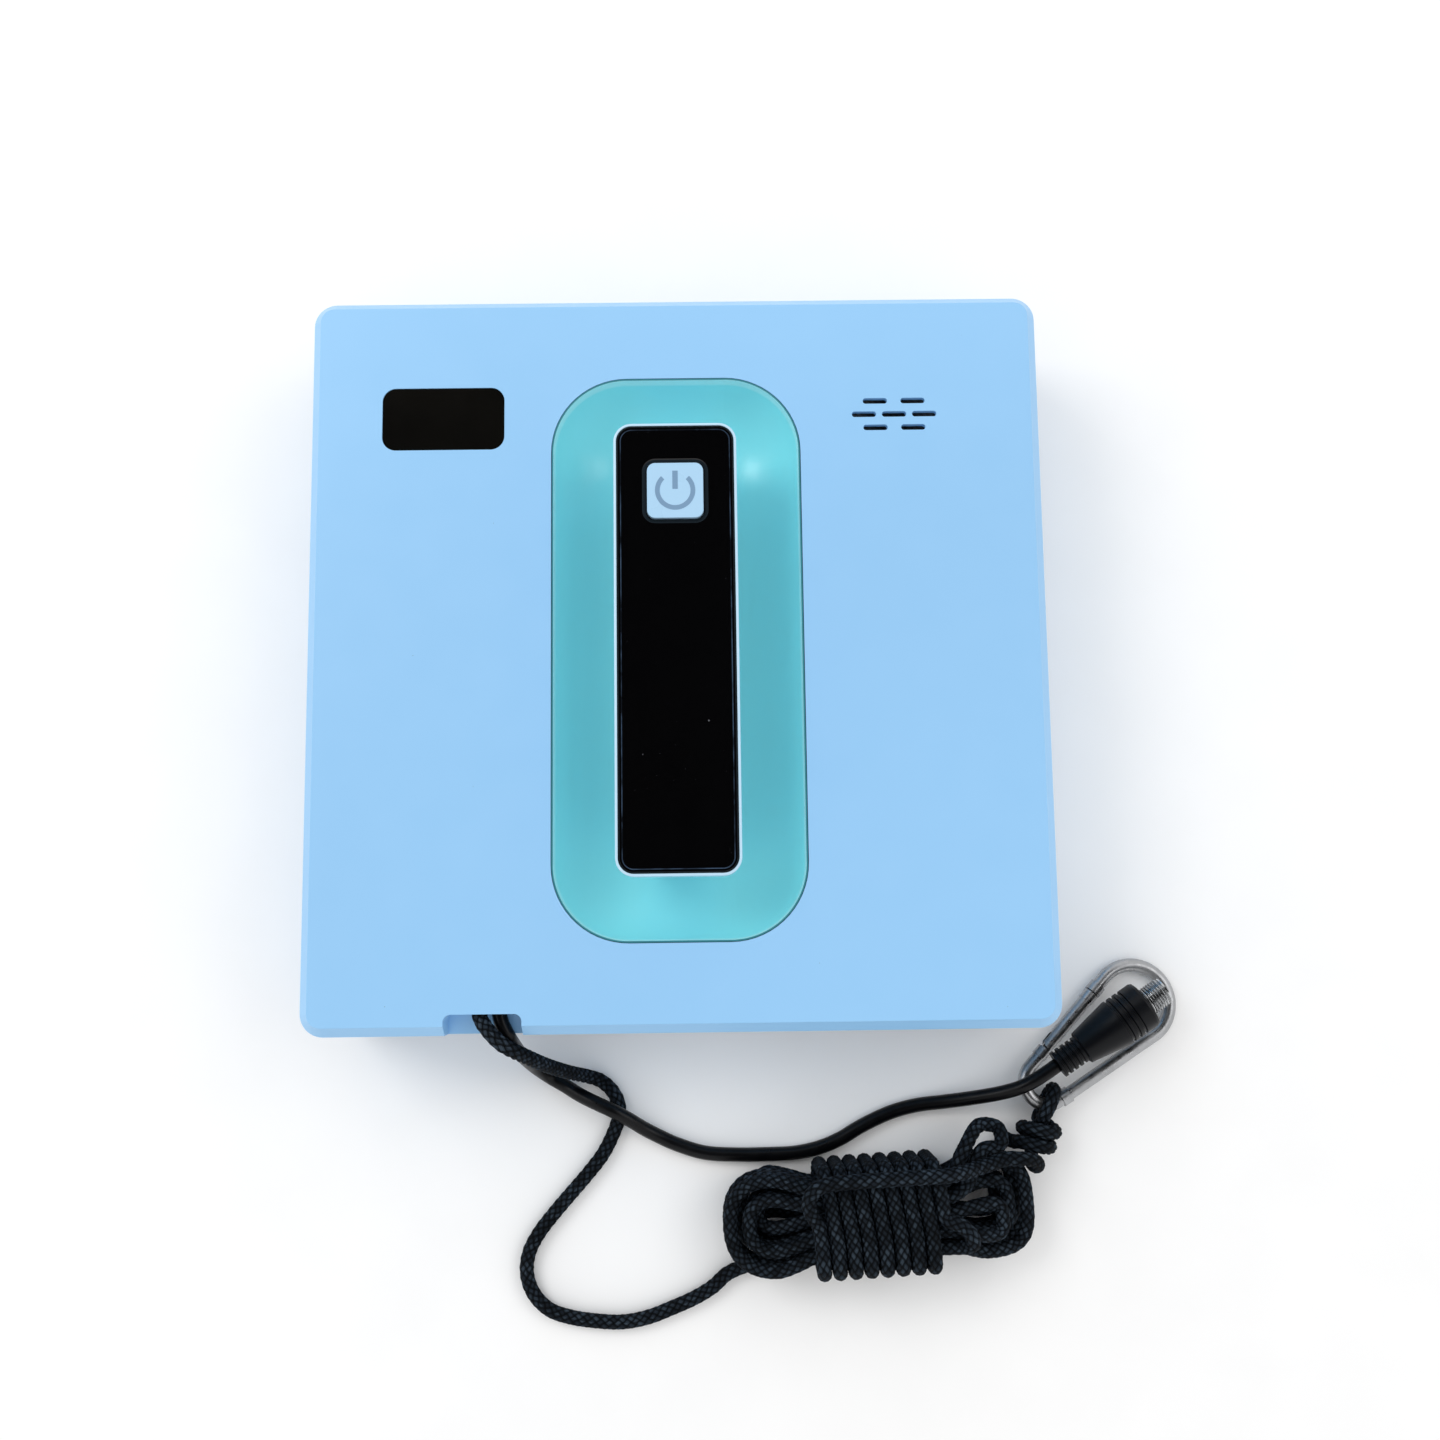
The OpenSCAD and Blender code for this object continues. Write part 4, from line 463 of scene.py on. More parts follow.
def linear(r, g, b):
    def one(c):
        c /= 255
        return c / 12.92 if c <= 0.04045 else ((c + 0.055) / 1.055) ** 2.4
    return (one(r), one(g), one(b), 1.0)


def tinted(c, f):
    return (min(1, c[0] * f), min(1, c[1] * f), min(1, c[2] * f), 1.0)


class Nodes:
    """Short forms for the nodes of one tree. A value is a number, a colour or another node's output."""

    def __init__(self, tree):
        self.tree = tree

    def node(self, kind, **settings):
        made = self.tree.nodes.new(kind)
        for key, value in settings.items():
            setattr(made, key, value)
        return made

    def feed(self, socket, value):
        if isinstance(value, bpy.types.NodeSocket):
            self.tree.links.new(value, socket)
        else:
            socket.default_value = value

    def math(self, op, *values):
        made = self.node("ShaderNodeMath", operation=op)
        for socket, value in zip(made.inputs, values):
            self.feed(socket, value)
        return made.outputs[0]

    def vector(self, op, *values):
        made = self.node("ShaderNodeVectorMath", operation=op)
        for socket, value in zip(made.inputs, values):
            self.feed(socket, value)
        return made.outputs["Value" if op == "LENGTH" else "Vector"]

    def split(self, vector):
        made = self.node("ShaderNodeSeparateXYZ")
        self.feed(made.inputs[0], vector)
        return made.outputs

    def range(self, value, low, high, from_low=0.0, from_high=1.0):
        made = self.node("ShaderNodeMapRange")
        self.feed(made.inputs["From Min"], from_low)
        self.feed(made.inputs["From Max"], from_high)
        self.feed(made.inputs["To Min"], low)
        self.feed(made.inputs["To Max"], high)
        self.feed(made.inputs["Value"], value)
        return made.outputs[0]


class Look(Nodes):
    """A Principled material. Scales are per metre; depths are in millimetres."""

    def __init__(self, name, **inputs):
        self.name = name
        self.mat = bpy.data.materials.new(name)
        self.mat.use_nodes = True
        super().__init__(self.mat.node_tree)
        self.bsdf = self.tree.nodes["Principled BSDF"]
        self.coord = self.node("ShaderNodeTexCoord").outputs["Object"]
        self.normal = None
        for key, value in inputs.items():
            self.bsdf.inputs[key.replace("_", " ")].default_value = value

    def noise(self, scale, detail=3.0, rough=0.5, stretch=None):
        made = self.node("ShaderNodeTexNoise")
        made.inputs["Scale"].default_value = scale
        made.inputs["Detail"].default_value = detail
        made.inputs["Roughness"].default_value = rough
        source = self.coord
        if stretch:
            mapping = self.node("ShaderNodeMapping")
            mapping.inputs["Scale"].default_value = stretch
            self.feed(mapping.inputs["Vector"], source)
            source = mapping.outputs[0]
        self.feed(made.inputs["Vector"], source)
        return made.outputs["Fac"]

    def cells(self, scale):
        made = self.node("ShaderNodeTexVoronoi")
        made.inputs["Scale"].default_value = scale
        self.feed(made.inputs["Vector"], self.coord)
        return made.outputs["Distance"]

    def dots(self, scale, size):
        """1 inside small round dots and 0 outside."""
        return self.math("LESS_THAN", self.cells(scale), size)

    def ramp(self, fac, *stops):
        made = self.node("ShaderNodeValToRGB")
        while len(made.color_ramp.elements) < len(stops):
            made.color_ramp.elements.new(0.5)
        for e, (at, colour) in zip(made.color_ramp.elements, stops):
            e.position = at
            e.color = colour
        self.feed(made.inputs["Fac"], fac)
        return made.outputs["Color"]

    def blend(self, fac, a, b):
        made = self.node("ShaderNodeMix", data_type="RGBA")
        for at, value in ((0, fac), (6, a), (7, b)):
            self.feed(made.inputs[at], value)
        return made.outputs[2]

    def mottle(self, scale, detail, low, high, stretch=None):
        """Two colours by soft noise."""
        return self.ramp(self.noise(scale, detail, stretch=stretch), (NOISE_LOW, low), (NOISE_HIGH, high))

    def colour(self, value):
        self.feed(self.bsdf.inputs["Base Color"], value)

    def rough(self, value):
        self.feed(self.bsdf.inputs["Roughness"], value)

    def gloss(self, scale, detail, low, high):
        """Roughness between low and high by soft noise."""
        self.rough(self.range(self.noise(scale, detail), low, high, NOISE_LOW, NOISE_HIGH))

    def bump(self, height, depth, strength):
        """A bump on top of those made before."""
        made = self.node("ShaderNodeBump")
        made.inputs["Distance"].default_value = depth * MM
        made.inputs["Strength"].default_value = strength
        self.feed(made.inputs["Height"], height)
        if self.normal is not None:
            self.feed(made.inputs["Normal"], self.normal)
        self.normal = made.outputs[0]
        self.feed(self.bsdf.inputs["Normal"], self.normal)

    def grain(self, scale, detail, depth, strength, stretch=None):
        self.bump(self.noise(scale, detail, stretch=stretch), depth, strength)


def plastic(name, rough, depth, **inputs):
    """Moulded plastic without its colour: a fine spark texture and uneven gloss."""
    m = Look(name, **inputs)
    m.gloss(scale=70, detail=4.0, low=rough - 0.05, high=rough + 0.05)
    m.grain(scale=2600, detail=2.0, depth=depth, strength=0.5)
    return m


def moulded(name, colour, rough, vary=0.03, depth=0.02, **inputs):
    """Moulded plastic with faint flow marks."""
    m = plastic(name, rough, depth, **inputs)
    c = linear(*colour)
    m.colour(m.mottle(scale=14, detail=2.0, low=tinted(c, 1 - vary), high=tinted(c, 1 + vary)))
    return m


def bare_metal(name, rough, brushed=None):
    """Metal without its colour."""
    m = Look(name, Metallic=1.0)
    m.gloss(scale=420, detail=4.0, low=rough - 0.08, high=rough + 0.1)
    m.grain(scale=1500, detail=3.0, depth=0.006, strength=0.3, stretch=brushed)
    return m


def metal(name, colour, rough, brushed=None):
    """Metal with darker and lighter patches."""
    m = bare_metal(name, rough, brushed)
    c = linear(*colour)
    patches = m.noise(scale=160, detail=4.0, rough=0.6)
    m.colour(m.ramp(patches, (0.3, tinted(c, 0.82)), (0.55, c), (0.75, tinted(c, 1.08))))
    return m


def rubber(name, colour, grain=1400):
    m = Look(name, Specular_IOR_Level=0.4)
    c = linear(*colour)
    m.colour(m.mottle(scale=90, detail=4.0, low=tinted(c, 0.75), high=tinted(c, 1.35)))
    m.gloss(scale=300, detail=3.0, low=0.6, high=0.82)
    m.grain(scale=grain, detail=3.0, depth=0.06, strength=0.6)
    return m


def cover_look():
    """Matt blue with a few dark specks."""
    m = plastic("cover_plastic", rough=0.34, depth=0.012)
    c = linear(149, 201, 243)
    base = m.mottle(scale=5.5, detail=1.5, low=tinted(c, 0.97), high=tinted(c, 1.02))
    specks = m.math("MULTIPLY", m.dots(scale=75, size=0.012), 0.5)
    m.colour(m.blend(specks, base, linear(96, 110, 128)))
    return m


def edge_distance(m, width, length, radius):
    """Distance past the outline of a plate with round corners, in metres; less than 0 inside it."""
    place = m.split(m.coord)
    past = []
    for axis, size in ((0, width), (1, length)):
        beyond = m.math("SUBTRACT", m.math("ABSOLUTE", place[axis]), (size / 2 - radius) * MM)
        past.append(m.math("MAXIMUM", beyond, 0.0))
    square = m.math("ADD", m.math("MULTIPLY", past[0], past[0]), m.math("MULTIPLY", past[1], past[1]))
    return m.math("SUBTRACT", m.math("SQRT", square), radius * MM)


TRAY_W, TRAY_L, TRAY_R = 81.2, 183.5, 24.6
# The tray's painted highlight line and painted seam shade line, as distances past its outline in mm
TRAY_HIGHLIGHT_FROM, TRAY_HIGHLIGHT_TO = -1.0, -0.8      # places past the outline
TRAY_SEAM_SHADE_FROM, TRAY_SEAM_SHADE_TO = -0.62, -0.48
PANEL_W, PANEL_L, PANEL_R = 37.1, 141.1, 4.85
PANEL_LINE_IN = 1.3
PANEL_LINE_HALF = 0.16


def tray_look():
    """Gloss teal with a thin line of painted shade at its outer edge, where the gap to the cover lies in
    shade, and a painted highlight line inside it.
    """
    m = Look("tray_plastic", Coat_Weight=0.15, Coat_Roughness=0.12)
    past = edge_distance(m, TRAY_W, TRAY_L, TRAY_R)
    teal = linear(143, 236, 243)
    flow = m.mottle(scale=14, detail=2.0, low=tinted(teal, 0.98), high=tinted(teal, 1.02))
    # Painted highlight: a light line (205, 250, 252) on the rim; painted shade: a dark line (48, 128, 142)
    # at the outer edge by the seam
    highlight_line = m.range(past, 0.0, 0.6, from_low=TRAY_HIGHLIGHT_FROM * MM, from_high=TRAY_HIGHLIGHT_TO * MM)
    seam_shade_line = m.range(past, 0.0, 1.0, from_low=TRAY_SEAM_SHADE_FROM * MM, from_high=TRAY_SEAM_SHADE_TO * MM)
    with_highlight = m.blend(highlight_line, flow, linear(205, 250, 252))
    m.colour(m.blend(seam_shade_line, with_highlight, linear(48, 128, 142)))
    m.gloss(scale=70, detail=4.0, low=0.28, high=0.32)
    m.grain(scale=2600, detail=2.0, depth=0.006, strength=0.5)
    return m


def panel_look():
    """Gloss black with dust, and a thin line inside its edge where the facet catches the light."""
    m = Look("panel_plastic", Specular_IOR_Level=0.35, Coat_Weight=0.3, Coat_Roughness=0.02)
    dust = m.math("MAXIMUM", m.dots(scale=130, size=0.045), m.dots(scale=620, size=0.035))
    where = m.math("GREATER_THAN", m.noise(scale=60, detail=2.0), 0.56)
    dust = m.math("MULTIPLY", dust, where)
    past = edge_distance(m, PANEL_W, PANEL_L, PANEL_R)
    facet = m.math("COMPARE", past, -PANEL_LINE_IN * MM, PANEL_LINE_HALF * MM)
    patches = m.noise(scale=75, detail=3.0, rough=0.6)
    glint = m.ramp(patches, (0.42, linear(16, 21, 28)), (0.62, linear(58, 76, 98)))
    black = m.blend(facet, linear(3, 3, 4), glint)
    m.colour(m.blend(m.math("MULTIPLY", dust, 0.7), black, linear(104, 106, 112)))
    smear = m.noise(scale=38, detail=4.0, rough=0.6, stretch=(1.0, 0.35, 1.0))
    m.rough(m.range(smear, 0.05, 0.13, from_low=0.35, from_high=0.7))
    m.grain(scale=90, detail=2.0, depth=0.01, strength=0.3)
    return m


def window_look():
    m = Look("window_plastic", Specular_IOR_Level=0.3, Coat_Weight=0.3, Coat_Roughness=0.03)
    m.colour(m.mottle(scale=40, detail=3.0, low=linear(8, 8, 7), high=linear(14, 13, 11)))
    m.gloss(scale=90, detail=4.0, low=0.06, high=0.11)
    m.grain(scale=1600, detail=2.0, depth=0.004, strength=0.3)
    return m


def rope_look():
    """Braid: carriers of four filaments, each cell of its own tone, in the mesh's own chequer, with painted
    highlight on crests and painted shade in grooves.
    """
    m = Look("rope_braid", Specular_IOR_Level=0.06)
    place = m.split(m.node("ShaderNodeUVMap", uv_map="UVMap").outputs[0])
    u = m.math("MULTIPLY", place[0], 1 / (BRAID_STEP * MM))
    v = m.math("MULTIPLY", place[1], BRAID_ROUND)
    a, b = m.math("ADD", u, v), m.math("SUBTRACT", u, v)
    ia, ib = m.math("FLOOR", a), m.math("FLOOR", b)
    fa, fb = m.math("FRACT", a), m.math("FRACT", b)
    parity = m.math("FLOORED_MODULO", m.math("ADD", ia, ib), 2.0)

    def either(first, second):
        pick = m.node("ShaderNodeMix", data_type="FLOAT")
        for at, value in ((0, parity), (2, first), (3, second)):
            m.feed(pick.inputs[at], value)
        return pick.outputs[0]

    strand, lengthwise = either(fa, fb), either(fb, fa)
    filaments = m.math("SINE", m.math("MULTIPLY", strand, 2 * math.pi * BRAID_FILAMENTS))
    cell = m.node("ShaderNodeCombineXYZ")
    m.feed(cell.inputs[0], ia)
    m.feed(cell.inputs[1], ib)
    white = m.node("ShaderNodeTexWhiteNoise", noise_dimensions="2D")
    m.feed(white.inputs["Vector"], cell.outputs[0])
    shade = white.outputs["Value"]

    from_middle = m.math("ABSOLUTE", m.math("SUBTRACT", strand, 0.5))
    from_centre = m.math("ABSOLUTE", m.math("SUBTRACT", lengthwise, 0.5))
    crest = m.math(
        "MULTIPLY",
        m.range(from_middle, 1.0, 0.04, from_low=0.12, from_high=0.44),
        m.range(from_centre, 1.0, 0.3, from_low=0.2, from_high=0.5),
    )
    worn = m.range(m.noise(scale=45), 0.55, 1.3, from_low=NOISE_LOW, from_high=NOISE_HIGH)
    # Painted highlight on each carrier's crest, streaked along its filaments, and painted shade: the colour
    # goes to near black (1, 2, 3) down in the grooves
    painted_light_and_shade = m.math("MULTIPLY", crest, m.range(filaments, 0.6, 1.25, from_low=-1.0, from_high=1.0))
    yarn = m.ramp(shade, (0.0, linear(24, 30, 37)), (0.5, linear(37, 45, 54)), (1.0, linear(60, 71, 82)))
    m.colour(m.blend(m.math("MULTIPLY", painted_light_and_shade, worn), linear(1, 2, 3), yarn))
    m.rough(m.range(shade, 0.6, 0.8))
    m.bump(crest, depth=0.25, strength=0.7)
    m.bump(filaments, depth=0.05, strength=0.6)
    m.grain(scale=2600, detail=3.0, depth=0.06, strength=0.5)
    return m


def lead_look():
    m = Look("lead_jacket", Specular_IOR_Level=0.2)
    m.colour(m.mottle(scale=120, detail=4.0, low=linear(3, 3, 5), high=linear(7, 8, 11)))
    m.gloss(scale=200, detail=4.0, low=0.26, high=0.4)
    m.grain(scale=700, detail=3.0, depth=0.03, strength=0.4)
    return m


GROOVE_R, CREST_R = NOSE_R - 0.04, NOSE_R + 0.36


def thread_look():
    """Nose metal with painted shade down in the thread, by the distance from the connector's middle line.
    """
    m = bare_metal("thread_metal", rough=0.24)
    off = m.vector("SUBTRACT", m.coord, CONNECTOR_AT * MM)
    radius = m.vector("LENGTH", m.vector("CROSS_PRODUCT", off, connector_way))
    height = m.range(radius, 0.0, 1.0, from_low=GROOVE_R * MM, from_high=CREST_R * MM)
    patches = m.noise(scale=160, detail=4.0, rough=0.6)
    tone = m.ramp(patches, (NOISE_LOW, linear(186, 188, 190)), (NOISE_HIGH, linear(212, 214, 216)))
    # Painted shade: dark (40, 41, 42) down in the thread's groove, the metal's own tone on its crest
    m.colour(m.blend(height, linear(40, 41, 42), tone))
    return m


def pad_look():
    """Pale looped cloth."""
    m = Look("pad_cloth", Sheen_Weight=0.4, Sheen_Roughness=0.5)
    loops = m.cells(scale=520)
    tone = m.ramp(loops, (0.0, linear(232, 238, 243)), (0.7, linear(168, 186, 204)))
    fibres = m.mottle(scale=900, detail=3.0, low=linear(176, 192, 208), high=linear(226, 234, 240))
    m.colour(m.blend(0.5, tone, fibres))
    m.rough(m.range(loops, 0.8, 0.98))
    m.bump(loops, depth=0.5, strength=0.8)
    m.grain(scale=1800, detail=3.0, depth=0.15, strength=0.6)
    return m


def tape_look():
    m = Look("hook_tape")
    hooks = m.cells(scale=900)
    m.colour(m.ramp(hooks, (0.1, linear(60, 62, 66)), (0.5, linear(22, 23, 26))))
    m.rough(m.range(hooks, 0.5, 0.8))
    m.bump(hooks, depth=0.25, strength=0.7)
    return m


def board_look():
    """Green board with traces and pads."""
    m = Look("board", Specular_IOR_Level=0.5, Coat_Weight=0.4, Coat_Roughness=0.2)
    grid = m.node("ShaderNodeTexBrick", offset=0.35)
    grid.inputs["Scale"].default_value = 160
    grid.inputs["Mortar Size"].default_value = 0.05
    grid.inputs["Color1"].default_value = linear(20, 82, 44)
    grid.inputs["Color2"].default_value = linear(24, 96, 52)
    grid.inputs["Mortar"].default_value = linear(70, 140, 84)
    m.feed(grid.inputs["Vector"], m.coord)
    m.colour(m.blend(m.dots(scale=420, size=0.12), grid.outputs["Color"], linear(198, 184, 128)))
    m.rough(m.range(m.noise(scale=200), 0.3, 0.5))
    m.bump(grid.outputs["Fac"], depth=0.03, strength=0.5)
    return m


def cell_look():
    m = Look("cell_wrap", Coat_Weight=0.5, Coat_Roughness=0.15)
    low, high = linear(24, 92, 150), linear(34, 112, 172)
    m.colour(m.mottle(scale=30, detail=3.0, low=low, high=high, stretch=(1, 6, 1)))
    m.rough(m.range(m.noise(scale=160, detail=4.0), 0.25, 0.42))
    m.grain(scale=260, detail=3.0, depth=0.06, strength=0.5, stretch=(1, 8, 1))
    return m


def cone_look():
    m = Look("speaker_cone")
    weave = m.node("ShaderNodeTexWave", wave_type="RINGS", rings_direction="Z")
    weave.inputs["Scale"].default_value = 240
    m.feed(weave.inputs["Vector"], m.coord)
    m.colour(m.ramp(weave.outputs["Fac"], (0.2, linear(28, 30, 33)), (0.8, linear(46, 49, 53))))
    m.rough(m.range(m.noise(scale=500), 0.6, 0.85))
    m.grain(scale=1500, detail=3.0, depth=0.05, strength=0.6)
    return m


looks = {look.name: look for look in (
    cover_look(),
    moulded("base_plastic", (146, 186, 222), rough=0.42, vary=0.02),
    tray_look(),
    moulded(
        "handle_plastic", (190, 223, 244), rough=0.25, vary=0.01, depth=0.006,
        Coat_Weight=0.2, Coat_Roughness=0.1,
    ),
    panel_look(),
    moulded("button_plastic", (172, 211, 240), rough=0.3, vary=0.01, depth=0.006),
    window_look(),
    moulded("dark_plastic", (34, 36, 40), rough=0.48, vary=0.08, depth=0.04),
    moulded("fan_plastic", (206, 210, 214), rough=0.4),
    moulded("wheel_plastic", (120, 126, 134), rough=0.45, vary=0.04),
    board_look(),
    cell_look(),
    cone_look(),
    metal("motor_metal", (168, 170, 172), rough=0.35, brushed=(1, 1, 12)),
    metal("steel", (196, 198, 200), rough=0.24, brushed=(8, 1, 1)),
    metal("screw_steel", (150, 152, 156), rough=0.3),
    metal("bush_bronze", (176, 138, 86), rough=0.38),
    rubber("belt_rubber", (30, 31, 33)),
    rubber("gasket_rubber", (46, 47, 50), grain=2400),
    pad_look(),
    tape_look(),
    rope_look(),
    lead_look(),
    moulded("connector_plastic", (2, 4, 9), rough=0.38, vary=0.2, depth=0.03, Specular_IOR_Level=0.2),
    metal("connector_metal", (206, 208, 210), rough=0.2),
    thread_look(),
    metal("hook_steel", (170, 171, 173), rough=0.32),
)}

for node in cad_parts.values():
    for held in node.material_slots:
        held.material = looks[held.material.name].mat
rope.data.materials.append(looks["rope_braid"].mat)
lead.data.materials.append(looks["lead_jacket"].mat)


# Power symbol on the button's cap
SYMBOL_R = 6.35
SYMBOL_STROKE = 1.5
SYMBOL_GAP = 44
SYMBOL_STEPS = 72
SYMBOL_LIFT = 0.03
BAR_HALF_W = 0.85
BAR_LOW = 0.4
BAR_HIGH = 6.3


def symbol():
    low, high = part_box("power_button")
    top = high[2]
    cx, cy = (low[0] + high[0]) / 2, (low[1] + high[1]) / 2
    lift = SYMBOL_LIFT * MM
    mesh = bmesh.new()

    def strip(left, right):
        """A raised strip between two rows of points, open below."""
        lower = [[mesh.verts.new((x + cx, y + cy, top - lift)) for x, y in row] for row in (left, right)]
        upper = [[mesh.verts.new((x + cx, y + cy, top + lift)) for x, y in row] for row in (left, right)]
        for i in range(len(left) - 1):
            mesh.faces.new((upper[0][i], upper[1][i], upper[1][i + 1], upper[0][i + 1]))
            mesh.faces.new((upper[0][i], upper[0][i + 1], lower[0][i + 1], lower[0][i]))
            mesh.faces.new((upper[1][i + 1], upper[1][i], lower[1][i], lower[1][i + 1]))
        for i, turn in ((0, 1), (-1, -1)):
            end = (upper[0][i], lower[0][i], lower[1][i], upper[1][i])
            mesh.faces.new(end[::turn])

    def arc(radius):
        gap = math.radians(SYMBOL_GAP)
        sweep = 2 * math.pi - 2 * gap
        turns = [math.pi / 2 + gap + sweep * k / SYMBOL_STEPS for k in range(SYMBOL_STEPS + 1)]
        return [(radius * math.cos(a), radius * math.sin(a)) for a in turns]

    def bar(x):
        return [(x, BAR_HIGH * MM), (x, BAR_LOW * MM)]

    outer, stroke = SYMBOL_R * MM, SYMBOL_STROKE * MM
    strip(arc(outer), arc(outer - stroke))
    strip(bar(-BAR_HALF_W * MM), bar(BAR_HALF_W * MM))
    bmesh.ops.recalc_face_normals(mesh, faces=mesh.faces)
    data = bpy.data.meshes.new("button_symbol")
    mesh.to_mesh(data)
    mesh.free()
    obj = new_object("button_symbol", data)
    data.materials.append(moulded("symbol_print", (118, 152, 184), rough=0.4).mat)
    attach(obj, "button")


symbol()


# Thread on the connector's nose
THREAD_PITCH = 0.95
THREAD_DEPTH = 0.48
THREAD_SIDES = 48
THREAD_STEPS = 8           # rings in one pitch
THREAD_FLOOR_R = NOSE_R - 0.06
THREAD_INNER_R = NOSE_R - 0.3
THREAD_FROM = NECK_L + GRIP_L + 0.3
THREAD_TO = NECK_L + GRIP_L + NOSE_L - 0.4


def nose_thread():
    """A closed sleeve round the nose with a helical ridge that fades at both ends."""
    sides = THREAD_SIDES
    rings = int((THREAD_TO - THREAD_FROM) / THREAD_PITCH * THREAD_STEPS)
    n = (Vector((0, 0, 1)) - connector_way.z * connector_way).normalized()
    b = connector_way.cross(n)

    def point(z, k, r):
        a = 2 * math.pi * k / sides
        return (CONNECTOR_AT + connector_way * z + r * (math.cos(a) * n + math.sin(a) * b)) * MM

    verts = []
    for i in range(rings + 1):
        z = THREAD_FROM + (THREAD_TO - THREAD_FROM) * i / rings
        fade = min(1, i / THREAD_STEPS, (rings - i) / THREAD_STEPS)
        for k in range(sides):
            turn = (z / THREAD_PITCH + k / sides) % 1.0
            verts.append(point(z, k, THREAD_FLOOR_R + (THREAD_DEPTH * abs(2 * turn - 1)) * fade))
    inner, last = len(verts), rings * sides
    verts += [point(z, k, THREAD_INNER_R) for z in (THREAD_FROM, THREAD_TO) for k in range(sides)]
    faces = tube_faces(rings, sides)
    for k in range(sides):
        m = (k + 1) % sides
        faces.append((k, inner + k, inner + m, m))
        faces.append((last + k, last + m, inner + sides + m, inner + sides + k))
        faces.append((inner + k, inner + sides + k, inner + sides + m, inner + m))
    data = bpy.data.meshes.new("nose_thread")
    data.from_pydata([tuple(v) for v in verts], [], faces)
    data.update()
    obj = new_object("nose_thread", data)
    data.materials.append(looks["thread_metal"].mat)
    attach(obj, "robot")


nose_thread()


# The cloth pad and the hook tape that holds it
PAD_VOXEL = 1.5
PAD_ROUNDS = 3
PAD_SMOOTHING = 0.5
PAD_WAVES = ((60, 0.45), (420, 0.35))      # scale per metre, height in millimetres
PAD_OVER_FLOOR = 0.05
PAD_UNDER_TOP = 0.02
TAPE_WELD = 0.001
TAPE_EDGE = 6.0
TAPE_ROUNDS = 3
TAPE_WAVE = 0.15
TAPE_WAVE_SCALE = 300
TAPE_OTHER_WAVE = Vector((3, 1, 2))


def copy_of(node, name):
    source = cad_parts[node]
    data = source.data.copy()
    data.name = name
    data.transform(source.matrix_world)
    data.materials.clear()
    return new_object(name, data)


def cleaning_pad():
    """The pad's solid with round edges and a soft, uneven nap."""
    low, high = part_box("cleaning_pad")
    pad = copy_of("cleaning_pad", "microfibre_pad")
    remesh = pad.modifiers.new("remesh", "REMESH")
    remesh.mode = "VOXEL"
    remesh.voxel_size = PAD_VOXEL * MM
    ready = pad.evaluated_get(bpy.context.evaluated_depsgraph_get())
    data = bpy.data.meshes.new_from_object(ready)
    pad.modifiers.clear()
    pad.data = data
    mesh = bmesh.new()
    mesh.from_mesh(data)
    for _ in range(PAD_ROUNDS):
        bmesh.ops.smooth_vert(
            mesh, verts=mesh.verts, factor=PAD_SMOOTHING, use_axis_x=True, use_axis_y=True, use_axis_z=True,
        )
    mesh.normal_update()
    moves = []
    for v in mesh.verts:
        moves.append(v.normal * sum(height * noise.noise(v.co * scale) for scale, height in PAD_WAVES) * MM)
    for v, d in zip(mesh.verts, moves):
        v.co += d
        v.co.z = min(max(v.co.z, low[2] + PAD_OVER_FLOOR * MM), high[2] - PAD_UNDER_TOP * MM)
    mesh.to_mesh(data)
    mesh.free()
    data.polygons.foreach_set("use_smooth", [True] * len(data.polygons))
    data.materials.clear()
    data.materials.append(looks["pad_cloth"].mat)
    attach(pad, "robot")
    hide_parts("cleaning_pad")


def hook_tape():
    """The tape's solid, cut finer and a little wavy."""
    tape = copy_of("pad_hook_tape", "hook_tape_sheet")
    mesh = bmesh.new()
    mesh.from_mesh(tape.data)
    bmesh.ops.remove_doubles(mesh, verts=mesh.verts, dist=TAPE_WELD * MM)
    bmesh.ops.triangulate(mesh, faces=mesh.faces)
    for _ in range(TAPE_ROUNDS):
        long = [e for e in mesh.edges if e.calc_length() > TAPE_EDGE * MM]
        if not long:
            break
        bmesh.ops.subdivide_edges(mesh, edges=long, cuts=1)
        bmesh.ops.triangulate(mesh, faces=mesh.faces)
    mesh.normal_update()
    for v in mesh.verts:
        v.co.x += noise.noise(v.co * TAPE_WAVE_SCALE) * TAPE_WAVE * MM
        v.co.y += noise.noise(v.co * TAPE_WAVE_SCALE + TAPE_OTHER_WAVE) * TAPE_WAVE * MM
    mesh.to_mesh(tape.data)
    mesh.free()
    tape.data.materials.append(looks["hook_tape"].mat)
    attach(tape, "robot")
    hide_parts("pad_hook_tape")


cleaning_pad()
hook_tape()


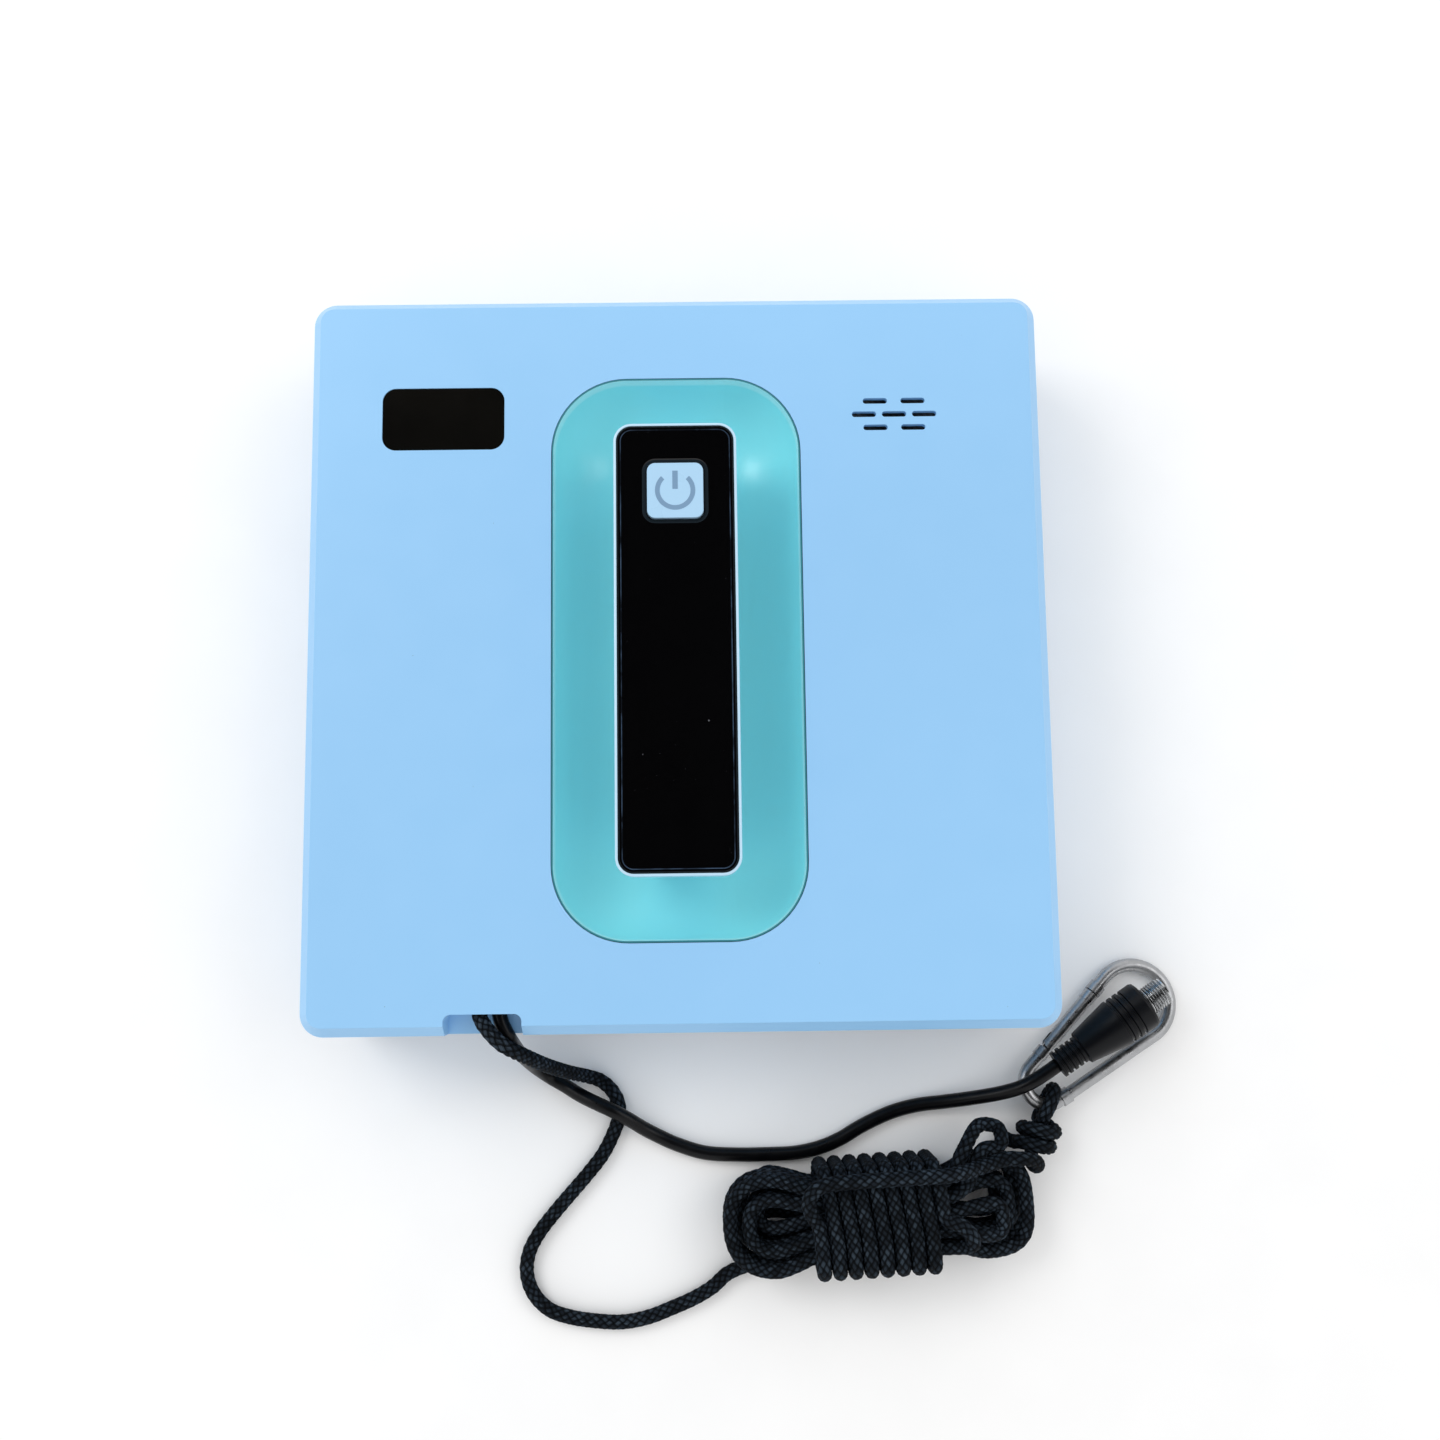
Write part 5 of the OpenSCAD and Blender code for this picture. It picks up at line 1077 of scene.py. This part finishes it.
# Floor, black flag overhead for the gloss, world and lamps; places here are in metres
FLOOR_HALF, FLOOR_Z = 3.0, -0.0004
FLAG_HALF, FLAG_Z = 0.62, 1.15
WORLD_FRONT, WORLD_BACK = 0.76, 0.94       # what lights the object, from -y to +y
LAMPS = (                                  # name, place, size, watts
    ("key", (-0.95, 0.55, 1.2), 0.7, 6.0),
    ("fill", (1.0, 0.2, 1.2), 0.8, 2.5),
)


def grey(level):
    return (level, level, level, 1)


def plate(name, half, z, look):
    data = bpy.data.meshes.new(name)
    corners = [(-half, -half, z), (half, -half, z), (half, half, z), (-half, half, z)]
    data.from_pydata(corners, [], [(0, 1, 2, 3)])
    data.materials.append(look.mat)
    return new_object(name, data)


def stage():
    paper = Look("floor_paper", Specular_IOR_Level=0.0)
    paper.colour(paper.mottle(scale=30, detail=3.0, low=grey(0.955), high=grey(0.975)))
    paper.rough(paper.range(paper.noise(scale=200), 0.85, 0.95))
    floor = plate("floor", FLOOR_HALF, FLOOR_Z, paper)

    cloth = Look("flag_cloth", Specular_IOR_Level=0.0)
    cloth.colour(cloth.mottle(scale=40, detail=2.0, low=grey(0.01), high=grey(0.02)))
    flag = plate("flag", FLAG_HALF, FLAG_Z, cloth)
    flag.visible_camera = False
    flag.visible_diffuse = False
    flag.visible_shadow = False

    world = bpy.data.worlds.new("world")
    bpy.context.scene.world = world
    world.use_nodes = True
    n = Nodes(world.node_tree)
    ray = n.node("ShaderNodeLightPath").outputs
    seen = n.math("MAXIMUM", ray["Is Camera Ray"], ray["Is Glossy Ray"])
    seen = n.math("MAXIMUM", seen, ray["Is Transmission Ray"])
    way = n.split(n.node("ShaderNodeTexCoord").outputs["Generated"])
    soft = n.range(way["Y"], WORLD_FRONT, WORLD_BACK, from_low=-1.0, from_high=1.0)
    back = world.node_tree.nodes["Background"]
    n.feed(back.inputs["Strength"], n.range(seen, soft, 1.0))
    back.inputs["Color"].default_value = grey(1)

    for name, at, size, watts in LAMPS:
        data = bpy.data.lights.new(name, "AREA")
        data.shape = "SQUARE"
        data.size = size
        data.energy = watts
        lamp = bpy.data.objects.new(name, data)
        lamp.location = at
        lamp.rotation_euler = (-Vector(at)).to_track_quat("-Z", "Y").to_euler()
        bpy.context.scene.collection.objects.link(lamp)


stage()
